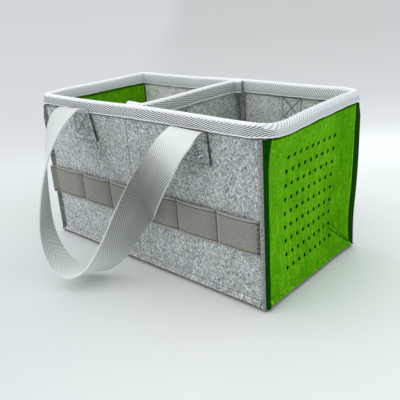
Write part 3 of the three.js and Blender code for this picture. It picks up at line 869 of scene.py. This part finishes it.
def wall(name, node, half_span, depth, thickness, turn, materials, holes=False, relief=None):
    """One wall, its turned-out edges finer than its middle, and its top corners cut away for the tape."""
    corner = half_span - INSET
    radius = thickness + BEND_ROOM
    flat_part = [(HOLES / 2 * HOLE_ACROSS, HOLES * 2), (corner - 5 * MM, 9)]
    if not holes:
        flat_part = [(corner - 5 * MM, 56)]
    columns = mirrored(*flat_part, (corner + 2 * MM, 7), (corner + SEAM_REACH, 3))
    low = HOLE_MIDDLE - HOLES / 2 * HOLE_UP
    high = HOLE_MIDDLE + HOLES / 2 * HOLE_UP
    rows = stations(
        LIFT - SEAM_REACH,
        (LIFT - 2 * MM, 3),
        (LIFT + 5 * MM, 7),
        (low, 3),
        (high, HOLES * 4),
        (SEAM_TOP, 6),
        (RIM_TOP - 5 * MM, 4),
    )
    mesh = flat_grid(columns, rows)
    if holes:
        places = [count - (HOLES - 1) / 2 for count in range(HOLES)]
        for row in places:
            for column in places:
                punch(mesh, column * HOLE_ACROSS, HOLE_MIDDLE + row * HOLE_UP)
    centres = [(face, face.calc_center_median()) for face in mesh.faces]
    corners = [face for face, at in centres if abs(at.x) > corner - CORNER_CUT and at.y > SEAM_TOP]
    bmesh.ops.delete(mesh, geom=corners, context="FACES")
    spin = Matrix.Rotation(turn, 3, "Z")

    def place(across, up):
        squeeze = 1 - SEAM_SQUEEZE * smoothstep(SEAM_TOP - 14 * MM, SEAM_TOP, up)
        run = abs(across) - corner
        along, out_side = turned_out(run * squeeze if run > 0 else run, radius)
        down, out_base = turned_out(LIFT - up, radius)
        out = (out_side ** 4 + out_base ** 4) ** 0.25
        return spin @ Vector((math.copysign(corner + along, across), -depth - out, LIFT - down))

    sew(name, mesh, place, thickness, [node], materials, False, relief=relief, bevel=0.15 * MM)


def front_relief(across, up):
    return sum(groove(across, seam, 2.2 * MM, 0.7 * MM) for seam in FRONT_SEAMS) if up < SEAM_TOP else 0.0


def back_relief(across, up):
    return groove(across, -BACK_SEAM, 2.2 * MM, 0.5 * MM) if up < SEAM_TOP else 0.0


def crease(across, up, start, end, width, depth):
    """A fold line pressed into the felt from start to end, fading towards end."""
    line = Vector(end) - Vector(start)
    to_point = Vector((across, up)) - Vector(start)
    share = to_point.dot(line) / line.length_squared
    if not 0 <= share <= 1:
        return 0.0
    off = (to_point - line * share).length / width
    return -depth * math.exp(-off * off * 3) * (1 - share) ** 0.6


def end_relief(across, up):
    first = crease(across, up, CREASE_FROM, CREASES[0], 1.6 * MM, 1.1 * MM)
    second = crease(across, up, CREASE_FROM, CREASES[1], 1.4 * MM, 0.7 * MM)
    ridge = crease(across, up, (77 * MM, 8 * MM), (32 * MM, 47 * MM), 2.4 * MM, -0.8 * MM)
    return first + second + ridge


wall("front_wall_felt", "front_panel", HALF_LENGTH, HALF_WIDTH, SIDE_FELT, 0,
     [front_felt, felt_edge], relief=front_relief)
wall("back_wall_felt", "back_panel", HALF_LENGTH, HALF_WIDTH, SIDE_FELT, math.pi,
     [back_felt, felt_edge], relief=back_relief)
wall("right_end_felt", "right_end_panel", HALF_WIDTH, HALF_LENGTH, END_FELT, math.pi / 2,
     [green, green_edge], holes=True, relief=end_relief)
wall("left_end_felt", "left_end_panel", HALF_WIDTH, HALF_LENGTH, END_FELT, -math.pi / 2,
     [green, green_edge], holes=True)


def base():
    """The base lies flat in the middle and rises to the seam line, where its edge turns down and out."""
    radius = 2.5 * MM

    def lines(half, steps):
        edge = (half - 4 * MM, 8), (half + 2 * MM, 6), (half + SEAM_REACH, 3)
        return mirrored((half - BASE_SAG, steps), *edge)

    def bent(value, half):
        """Where a place on the flat cloth comes to lie, how far it turns down, and its share of the rise."""
        along, down = turned_out(abs(value) - half, radius)
        return math.copysign(half + along, value), down, smoothstep(half - BASE_SAG, half, abs(value))

    def place(flat_x, flat_y):
        x, down_x, rise_x = bent(flat_x, HALF_LENGTH)
        y, down_y, rise_y = bent(flat_y, HALF_WIDTH)
        height = BASE_FELT + (SEAM_LINE - BASE_FELT) * max(rise_x, rise_y)
        return Vector((x, y, height - (down_x ** 4 + down_y ** 4) ** 0.25))

    mesh = flat_grid(lines(HALF_LENGTH, 40), lines(HALF_WIDTH, 18))
    # Its raw edges take the cut felt edge painted darker as painted shade.
    sew("base_felt", mesh, place, BASE_FELT, ["base_panel"], [felt, shaded_felt_edge])


base()


# Paths in plan


def rounded_path(corners, radii):
    """Straight runs with rounded corners: their points in plan, and how far along each point lies."""
    count = len(corners)
    points = []
    for index, corner in enumerate(corners):
        here = Vector(corner)
        if index in (0, count - 1):
            points.append(here)
            continue
        before = (Vector(corners[index - 1]) - here).normalized()
        after = (Vector(corners[index + 1]) - here).normalized()
        radius = radii[index - 1]
        middle = here + (before + after) * radius
        for angle in np.linspace(0, math.pi / 2, 17):
            points.append(middle - after * radius * math.cos(angle) - before * radius * math.sin(angle))
    dense = np.array([tuple(point) for point in points])
    reach = np.concatenate([[0], np.cumsum(np.hypot(*np.diff(dense, axis=0).T))])
    return dense, reach


def on_path(path, distance):
    """The point on a path and the direction to its right."""
    dense, reach = path
    lead = 0.4 * MM
    back, here, fore = (
        Vector([np.interp(d, reach, dense[:, axis]) for axis in (0, 1)])
        for d in (distance - lead, distance, distance + lead)
    )
    heading = (fore - back).normalized()
    return here, Vector((heading.y, -heading.x))


def folded_tape(across, half_gap, top, bottom):
    """Where a tape folded over an edge lies: how far out and how high."""
    leg = top - half_gap - bottom
    run = abs(across)
    arc = half_gap * math.pi / 2
    if run < arc:
        angle = run / half_gap
        return math.copysign(half_gap * math.sin(angle), across), top - half_gap * (1 - math.cos(angle))
    down = (run - arc) / (TAPE_HALF - arc) * leg
    share = down / leg
    puff = TAPE_PUFF * math.sin(share * math.pi)
    pinch = TAPE_PINCH * math.exp(-((share - 0.85) / 0.08) ** 2)
    return math.copysign(half_gap + puff - pinch, across), top - half_gap - down


def rim_gap(out):
    """Half the gap between the tape's legs where the rim faces out, wider at the ends' thicker felt."""
    return (SIDE_FELT + (END_FELT - SIDE_FELT) * out.x ** 2) / 2 + TAPE + LAYER_GAP


def tape_wobble(along, across, row, height):
    """How far the tape's edges wander up and down, the more the nearer to an edge."""
    wander = noise.noise(Vector((along * 60, row, 0.0))) * height
    return wander * smoothstep(4 * MM, TAPE_HALF, abs(across))


def sew_tape(name, mesh, place, node):
    sew(name, mesh, place, TAPE, [node], [tape_paint], bevel=0.25 * MM)


TAPE_ROWS = mirrored((4.6 * MM, 6), (TAPE_HALF, 10))


def rim_tape():
    """One strip round the rim, with its ends overlapped on the back. It pleats inside at the corners."""
    half_x = HALF_LENGTH + END_FELT / 2
    half_y = HALF_WIDTH + SIDE_FELT / 2
    join = (TAPE_JOIN_X, half_y)
    corners = [(-half_x, half_y), (-half_x, -half_y), (half_x, -half_y), (half_x, half_y)]
    path = rounded_path([join, *corners, join], RIM_RADII)
    length = path[1][-1]
    mesh = flat_grid(stations(0.0, (length, 380), (length + TAPE_OVERLAP, 5)), TAPE_ROWS)

    def place(along, across):
        point, out = on_path(path, along if along <= length else along - length)
        if along in (0.0, length):
            out = Vector((0, 1))
        half_gap = rim_gap(out) + JOIN_LIFT * smoothstep(length - 8 * MM, length - 1 * MM, along)
        front_share = smoothstep(0.5 * half_y, half_y, -point.y)
        lowered = RIM_DROP * max(front_share, smoothstep(0.9 * half_x, half_x, point.x))
        raised = FRONT_RISE * front_share * smoothstep(60 * MM, 130 * MM, -point.x)
        raised += END_RISE * smoothstep(135 * MM, 150 * MM, point.x)
        if across < 0:
            left_share = smoothstep(0.8 * half_x, 0.97 * half_x, -point.x)
            raised += INNER_RISE * left_share * (1 - 0.5 * smoothstep(0, half_y, point.y))
        side, height = folded_tape(across, half_gap, RIM_TOP - lowered, TAPE_BOTTOM + raised)
        at_corner = 4 * (out.x * out.y) ** 2
        if across < 0:
            pleat = PLEAT * math.sin(math.atan2(out.y, out.x) * 16) * at_corner
            side += pleat * smoothstep(0, 6 * MM, -across)
        else:
            side += EDGE_FLARE * at_corner * smoothstep(7 * MM, TAPE_HALF, across)
        height += tape_wobble(along, across, 1.7, 0.5 * MM)
        return Vector((point.x + out.x * side, point.y + out.y * side, height))

    sew_tape("rim_tape", mesh, place, "rim_binding")
    return path, length


def divider_path():
    """The divider in plan: bent like a Z, with a flange at each wall."""
    start = (DIVIDER_X - DIVIDER_FELT / 2 - DIVIDER_FRONT, -DIVIDER_END)
    end = (DIVIDER_X + DIVIDER_FELT / 2 + DIVIDER_BACK, DIVIDER_END)
    bends = [(DIVIDER_X, -DIVIDER_END), (DIVIDER_X, DIVIDER_END)]
    return rounded_path([start, *bends, end], (DIVIDER_BEND, DIVIDER_BEND))


def divider_tape():
    """The tape over the divider's top edge, a little lower than the rim and raised on the front flange."""
    path = divider_path()
    length = path[1][-1]
    mesh = flat_grid(stations(0.0, (24 * MM, 16), (length - 18 * MM, 60), (length, 12)), TAPE_ROWS)

    def place(along, across):
        point, out = on_path(path, along)
        half_gap = DIVIDER_FELT / 2 + TAPE + LAYER_GAP
        raised = FLANGE_RISE * (1 - smoothstep(2 * MM, 22 * MM, along))
        top = RIM_TOP - DIVIDER_DROP + raised
        side, height = folded_tape(across, half_gap, top, TAPE_BOTTOM + raised * 0.5)
        height += tape_wobble(along, across, 9.1, 0.4 * MM)
        return Vector((point.x + out.x * side, point.y + out.y * side, height))

    sew_tape("divider_tape", mesh, place, "divider_binding")


def divider():
    """The divider's felt. It stands on the base, and its flanges reach out to the walls below the tape."""
    path = divider_path()
    length = path[1][-1]
    low = BASE_FELT + 0.5 * MM
    bend = (length - 18 * MM, 52), (length - 8 * MM, 10)
    columns = stations(0.0, (14 * MM, 7), (24 * MM, 10), *bend, (length, 4))
    mesh = flat_grid(columns, stations(low, (20 * MM, 5), (SEAM_TOP, 34), (RIM_TOP - TAPE - 1 * MM, 5)))

    def place(along, up):
        point, out = on_path(path, along)
        rise = (SEAM_LINE - BASE_FELT) * smoothstep(HALF_WIDTH - BASE_SAG, HALF_WIDTH, abs(point.y))
        height = up + rise * (1 - smoothstep(low, 20 * MM, up))
        out_to_wall = FLANGE_OUT * (1 - smoothstep(SEAM_TOP - 8 * MM, SEAM_TOP + 2 * MM, up))
        flange = smoothstep(66 * MM, 70 * MM, abs(point.y))
        y = point.y + math.copysign(out_to_wall * flange, point.y)
        side = DIVIDER_FELT / 2
        return Vector((point.x + out.x * side, y + out.y * side, height))

    materials = [divider_paint, felt_edge]
    sew("divider_felt", mesh, place, DIVIDER_FELT, ["divider_panel"], materials)


rim_path, rim_length = rim_tape()
divider()
divider_tape()


# Band

BAND_FACE = -FRONT_FACE - BAND - LAYER_GAP
BAND_START = BAND_LINES[0]
BAND_TAB = 7 * MM
BAND_HEM = 2.3 * MM


def band_out(x, up_share):
    """How far the band stands off the wall: it swells in each cell and is held down at its sewn lines."""
    for start, end in zip(BAND_LINES, BAND_LINES[1:]):
        if start < x < end:
            share = (x - start) / (end - start)
            return BAND_BULGE * (0.75 + 0.35 * up_share) * math.sin(math.pi * share) ** 0.5
    return 0.0


def band():
    """The band, whose left end turns out with the wall's edge."""
    cells = [(line, 14) for line in BAND_LINES[1:]]
    columns = stations(BAND_START - BAND_TAB, (BAND_START, 6), *cells)
    rows = mirrored((BAND_HEIGHT / 2 - 4 * MM, 5), (BAND_HEIGHT / 2, 8))
    mesh = flat_grid(columns, rows)

    def place(along, across):
        share = across / BAND_HEIGHT + 0.5
        z = BAND_BOTTOM + BAND_HEIGHT / 2 + across
        x = along
        out = band_out(along, share)
        if along < BAND_START:
            x = BAND_START + (along - BAND_START) * DIAGONAL
            out = (BAND_START - along) * DIAGONAL
        return Vector((x, BAND_FACE - out, z))

    def relief(_, across):
        return groove(BAND_HEIGHT / 2 - abs(across), BAND_HEM, 1.0 * MM, 0.35 * MM)

    sew("band_tape", mesh, place, BAND, ["front_band"], [band_paint], relief=relief,
        bevel=0.3 * MM)


band()


# Handles

WEB_STEPS = 240
WEB_ROUNDS = 6


def loop_line():
    """Points and width directions along the loop, smooth through its rows."""
    rows = np.array(LOOP)
    rows[:, :3] *= MM
    rows = np.vstack([2 * rows[0] - rows[1], rows, 2 * rows[-1] - rows[-2]])
    line = []
    for count in range(1, len(rows) - 2):
        before, start, end, after = rows[count - 1:count + 3]
        for step in range(8):
            t = step / 8
            bent = 2 * start + (end - before) * t + (2 * before - 5 * start + 4 * end - after) * t ** 2
            bent = (bent + (3 * start - before - 3 * end + after) * t ** 3) / 2
            line.append((Vector(bent[:3]), Vector(bent[3:])))
    return line


def strap_end(side):
    """Points of the sewn end, up behind its patch and out to the fold."""
    layer = -FRONT_FACE - LAYER_GAP - WEBBING / 2
    across = Vector((1, 0, 0))
    heights = np.linspace(STRAP_Z[0], STRAP_Z[1], 12)
    line = [(Vector((side * HANDLE_X, layer, z)), across) for z in heights]
    for step in range(1, 8):
        t = step / 8
        y = (1 - t) ** 2 * layer + 2 * t * (1 - t) * layer + t * t * -FOLD_OUT
        z = (1 - t) ** 2 * STRAP_Z[1] + 2 * t * (1 - t) * (TAPE_BOTTOM - 1 * MM) + t * t * FOLD_Z[side]
        line.append((Vector((side * HANDLE_X, y, z)), across))
    return line


def even_line(line):
    """Evens out the spacing of a line of points and smooths its bends. Also gives its length."""
    points = np.array([tuple(point) + tuple(across) for point, across in line])
    for turn in range(2):
        steps = np.linalg.norm(np.diff(points[:, :3], axis=0), axis=1)
        reach = np.concatenate([[0], np.cumsum(steps)])
        even = np.linspace(0, reach[-1], WEB_STEPS)
        points = np.array([np.interp(even, reach, points[:, axis]) for axis in range(6)]).T
        if turn == 0:
            for _ in range(WEB_ROUNDS):
                points[1:-1] = (points[:-2] + 2 * points[1:-1] + points[2:]) / 4
    return points, reach[-1]


def handle(face, turn):
    """One strip of webbing: both sewn ends, which stay with the body, and the loop between their folds."""
    far_end = [(point, -across) for point, across in reversed(strap_end(-1))]
    points, length = even_line(strap_end(1) + loop_line() + far_end)
    tangents = np.gradient(points[:, :3], axis=0)
    rows = mirrored((WEB_HALF - 1.2 * MM, 5), (WEB_HALF, 3))
    mesh = flat_grid(stations(0.0, (length, WEB_STEPS - 1)), rows)
    spin = Matrix.Rotation(turn, 3, "Z")
    frames = []
    for row, tangent in zip(points, tangents):
        along = Vector(tangent).normalized()
        across = Vector(row[3:])
        across = (across - along * across.dot(along)).normalized()
        frames.append((Vector(row[:3]), across, along.cross(across)))

    def place(along, across):
        point, wide, out = frames[round(along / length * (WEB_STEPS - 1))]
        curl = CURL * math.exp(-((along - CURL_AT) / CURL_SPAN) ** 2)
        narrowed = across * (1 - (curl / WEB_HALF) ** 2 * 2 / 3)
        if across < 0:
            narrowed *= 1 - LEFT_NARROWING * smoothstep(length - 80 * MM, length - 48 * MM, along)
        return spin @ (point + wide * narrowed + out * (WEBBING / 2 + curl * (across / WEB_HALF) ** 2))

    nodes = [f"{face}_handle", f"{face}_left_strap_end", f"{face}_right_strap_end"]
    piece = sew(f"{face}_webbing", mesh, place, WEBBING, nodes, [web_paint], body=None,
                bevel=0.5 * MM)
    start, end = (spin @ Vector((0, -reach, TAPE_BOTTOM + 5 * MM)) for reach in BLEND)
    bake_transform(piece, "body", f"{face}_handle", start=tuple(start), end=tuple(end))


for face, turn in FACES:
    handle(face, turn)


# Patches

PATCH_FACE = FRONT_FACE + 2 * LAYER_GAP + WEBBING + PATCH_FELT


def patch(name, side, turn):
    """A felt patch over a sewn end. Its sides bend towards the wall, and its stitches sink in."""
    mesh = flat_grid(mirrored((PATCH_HALF, 12)), stations(PATCH_Z[0], (PATCH_Z[1], 16)))
    spin = Matrix.Rotation(turn, 3, "Z")
    low, high = PATCH_EDGES[side]

    def place(across, up):
        share = (up - PATCH_Z[0]) / (PATCH_Z[1] - PATCH_Z[0])
        reach = low + (high - low) * share if across > 0 else PATCH_HALF
        bend = PATCH_BEND * smoothstep(PATCH_HALF - 4 * MM, PATCH_HALF, abs(across))
        return spin @ Vector((side * HANDLE_X + across / PATCH_HALF * reach, bend - PATCH_FACE, up))

    def relief(across, up):
        if abs(across) >= BOX_HALF or not BOX_Z[0] < up < BOX_Z[1]:
            return 0.0
        rise = up - BOX_MIDDLE
        return sum(groove(off * DIAGONAL, 0, 2.4 * MM, 0.5 * MM) for off in (across - rise, across + rise))

    # The right patches take the felt painted darker as painted shade.
    materials = [shaded_rough_patch_paint if side > 0 else patch_paint, shaded_felt_edge]
    sew(f"{name}_felt", mesh, place, PATCH_FELT, [name], materials, relief=relief)


# Each patch's name, its side of the handle and its face's turn
PATCHES = [
    (f"{face}_{'left' if side * math.cos(turn) < 0 else 'right'}_patch", side, turn)
    for face, turn in FACES
    for side in (-1, 1)
]
for name, side, turn in PATCHES:
    patch(name, side, turn)


# Stitches

STITCH = 2.4 * MM
STITCH_PITCH = 3.3 * MM
STITCH_HALF = 0.42 * MM
PALE_HALF = 0.75 * MM


def stitch_row(mesh, start, end, out, length=STITCH, pitch=STITCH_PITCH, width=STITCH_HALF):
    """Stitches from start to end, each a slim bead that lies on the cloth, which faces out."""
    line = end - start
    count = max(1, round(line.length / pitch))
    along = line.normalized()
    side = out.cross(along).normalized()
    up = along.cross(side)
    for index in range(count):
        middle = start + line * ((index + 0.5) / count)
        lie = Matrix((along * length / 2, side * width, up * width * 0.8)).transposed().to_4x4()
        lie.translation = middle
        bmesh.ops.create_icosphere(mesh, subdivisions=1, radius=1, matrix=lie)


def stitches(name, node, rows, thread, turn=0.0, **sizes):
    """One piece of stitched rows, each given as start, end and the way out, before the turn."""
    slot = "green_thread" if thread == green_thread else "grey_thread"
    mesh = bmesh.new()
    spin = Matrix.Rotation(turn, 3, "Z")
    for row in rows:
        stitch_row(mesh, *(spin @ Vector(point) for point in row), **sizes)
    finish_piece(name, mesh, "body", [node], [thread])


def patch_rows(x, y, out):
    """A box with a cross in it."""
    low, high = BOX_Z
    left, right = x - BOX_HALF, x + BOX_HALF
    lines = [
        ((left, low), (right, low)), ((right, low), (right, high)),
        ((right, high), (left, high)), ((left, high), (left, low)),
        ((left, low), (right, high)), ((left, high), (right, low)),
    ]
    return [((a[0], y, a[1]), (b[0], y, b[1]), (0, out, 0)) for a, b in lines]


for name, side, turn in PATCHES:
    x = side * (BACK_BOX_X if turn else HANDLE_X)
    thread, half = (pale_thread, PALE_HALF) if side > 0 else (grey_thread, STITCH_HALF)
    rows = patch_rows(x, -PATCH_FACE - half / 2, -1) + patch_rows(x, -HALF_WIDTH, 1)
    stitches(f"{name}_stitches", f"{name}_thread", rows, thread, turn, width=half)


def rim_stitches():
    """Stitches along the lower edge of the rim tape, outside and inside."""
    mesh = bmesh.new()
    z = TAPE_BOTTOM + 1.9 * MM
    count = round(rim_length / STITCH_PITCH)
    for index in range(count):
        point, out = on_path(rim_path, (index + 0.5) / count * rim_length)
        at_corner = 4 * (out.x * out.y) ** 2
        outward = out.to_3d()
        half_stitch = Vector((-out.y, out.x, 0)) * STITCH / 2
        for sign in (-1, 1):
            reach = rim_gap(out) - 0.1 * MM + (STITCH_FLARE * at_corner if sign > 0 else 0)
            middle = Vector((point.x, point.y, z)) + outward * sign * reach
            stitch_row(mesh, middle - half_stitch, middle + half_stitch, outward * sign)
    finish_piece("rim_stitches", mesh, "body", ["rim_thread"], [grey_thread])


rim_stitches()


def corner_row(side):
    """Stitches on the outer face of an end wall's turned edge."""
    x = side * (HALF_WIDTH - INSET - MITRE * END_FELT + ROW_RUN * DIAGONAL)
    y = -HALF_LENGTH - END_FELT - ROW_RUN * DIAGONAL
    out = (-side * DIAGONAL, -DIAGONAL, 0)
    return (x, y, SEAM_LINE + 5 * MM), (x, y, SEAM_TOP - 6 * MM), out


def bottom_row(half_span, depth, thickness):
    """Stitches on the outer face of a wall's turned bottom edge."""
    y = -depth - thickness - ROW_RUN * DIAGONAL
    z = LIFT + MITRE * thickness - ROW_RUN * DIAGONAL
    return (-half_span + 6 * MM, y, z), (half_span - 6 * MM, y, z), (0, -DIAGONAL, DIAGONAL)


for end, turn in ENDS:
    for side in (-1, 1):
        corner = f"{'front' if side * math.sin(turn) < 0 else 'back'}_{end}_corner"
        stitches(f"{corner}_stitches", f"{corner}_thread", [corner_row(side)], green_thread, turn)
    row = bottom_row(HALF_WIDTH, HALF_LENGTH, END_FELT)
    stitches(f"{end}_bottom_stitches", f"{end}_bottom_thread", [row], green_thread, turn)
for face, turn in FACES:
    row = bottom_row(HALF_LENGTH, HALF_WIDTH, SIDE_FELT)
    stitches(f"{face}_bottom_stitches", f"{face}_bottom_thread", [row], grey_thread, turn)


def wall_row(x, y, out):
    """An upright row from the base's seam to the rim tape."""
    return (x, y, SEAM_LINE + 6 * MM), (x, y, SEAM_TOP), (0, out, 0)


for label, seam in zip(("left", "right"), FRONT_SEAMS):
    row = wall_row(seam, -FRONT_FACE + 0.6 * MM, -1)
    stitches(f"front_divider_stitches_{label}", f"front_divider_thread_{label}", [row], grey_thread)
row = wall_row(BACK_SEAM, FRONT_FACE - 0.4 * MM, 1)
stitches("back_divider_stitches", "back_divider_thread", [row], grey_thread)

for count, line in enumerate(BAND_LINES[1:], 1):
    x = line - (1.5 * MM if line == BAND_LINES[-1] else 0.0)
    y = BAND_FACE - band_out(x, 0.5)
    row = ((x, y, BAND_BOTTOM + 1 * MM), (x, y, BAND_BOTTOM + BAND_HEIGHT - 1 * MM), (0, -1, 0))
    stitches(f"band_stitches_{count}", f"band_thread_{count}", [row], dark_thread,
             length=2.9 * MM, pitch=4.4 * MM, width=0.7 * MM)


# Camera, light and stage


def make_camera():
    """The photograph's view."""
    azimuth, elevation = CAMERA_AZIMUTH, CAMERA_ELEVATION
    back = Vector((
        math.sin(azimuth) * math.cos(elevation),
        -math.cos(azimuth) * math.cos(elevation),
        math.sin(elevation),
    ))
    right = (-back).cross(Vector((0, 0, 1))).normalized()
    up = right.cross(-back)
    tilted_right = right * math.cos(CAMERA_ROLL) + up * math.sin(CAMERA_ROLL)
    tilted_up = up * math.cos(CAMERA_ROLL) - right * math.sin(CAMERA_ROLL)
    data = bpy.data.cameras.new("camera")
    data.lens = CAMERA_LENS
    data.sensor_width = SENSOR
    data.clip_start = 0.01
    data.clip_end = 20
    camera = bpy.data.objects.new("camera", data)
    bpy.context.scene.collection.objects.link(camera)
    camera.matrix_world = Matrix((tilted_right, tilted_up, back)).transposed().to_4x4()
    camera.location = CAMERA_AT
    bpy.context.scene.camera = camera


def make_light():
    """A sky that is brighter on one side, and one wide soft lamp."""
    scene = bpy.context.scene
    scene.view_settings.view_transform = "Standard"
    world = bpy.data.worlds.new("soft_box")
    world.use_nodes = True
    background = world.node_tree.nodes["Background"]
    background.inputs["Color"].default_value = (0.95, 0.98, 1.0, 1.0)
    sky = Sky(world)
    east, north, height = sky.parts(sky.node("ShaderNodeTexCoord", out="Generated"))
    bright = sky.node("ShaderNodeMapRange", None, {
        "Value": north * 0.45 - east * 0.42 + height * 0.75,
        "From Min": -0.35, "From Max": 0.9, "To Min": DARK_SKY, "To Max": BRIGHT_SKY,
    })
    world.node_tree.links.new(bright.socket, background.inputs["Strength"])
    scene.world = world
    data = bpy.data.lights.new("ceiling", "SUN")
    data.angle = LAMP_SPREAD
    data.energy = LAMP_STRENGTH
    lamp = bpy.data.objects.new("ceiling", data)
    scene.collection.objects.link(lamp)
    lamp.rotation_euler = (-LAMP_FROM).to_track_quat("-Z", "Y").to_euler()


def make_stage():
    """A pale floor that rises a little in the distance, so that it covers the horizon. Its colour carries
    painted light.
    """
    mesh = bmesh.new()
    bmesh.ops.create_grid(mesh, x_segments=24, y_segments=24, size=12)
    for vert in mesh.verts:
        vert.co.z = 0.02 * max(0.0, vert.co.xy.length - 5.0) ** 2
    data = bpy.data.meshes.new("floor")
    mesh.to_mesh(data)
    mesh.free()
    floor = bpy.data.objects.new("floor", data)
    bpy.context.scene.collection.objects.link(floor)
    paint = Paint("floor")
    place = paint.place()
    east, north, _ = paint.parts(place)
    away = (math.sin(CAMERA_AZIMUTH), math.cos(CAMERA_AZIMUTH))
    distance = north * away[1] - east * away[0]
    cloud = paint.fibres(place, 6.0)
    # Painted light: a pale band a little behind the box, greyer further away.
    colour = paint.ramp(
        distance / 3.2 + 0.05 + (cloud - 0.5) * 0.01,
        (0.04, rgb(222, 226, 224)),
        (0.10, rgb(224, 228, 226)),
        (0.135, rgb(232, 236, 235)),
        (0.155, rgb(232, 236, 235)),
        (0.20, rgb(210, 213, 212)),
        (0.30, rgb(196, 199, 198)),
        (0.50, rgb(190, 193, 192)),
        (1.00, rgb(184, 187, 186)),
    )
    # Painted shade: greyer towards the left.
    left = paint.clamp(east * away[1] + north * away[0], 0.0, -0.25)
    colour = paint.mix(left * 0.6, colour, rgb(200, 203, 205))
    data.materials.append(paint.cloth(colour, cloud, 0.0, 1.0, specular=0.0))


make_camera()
make_light()
make_stage()
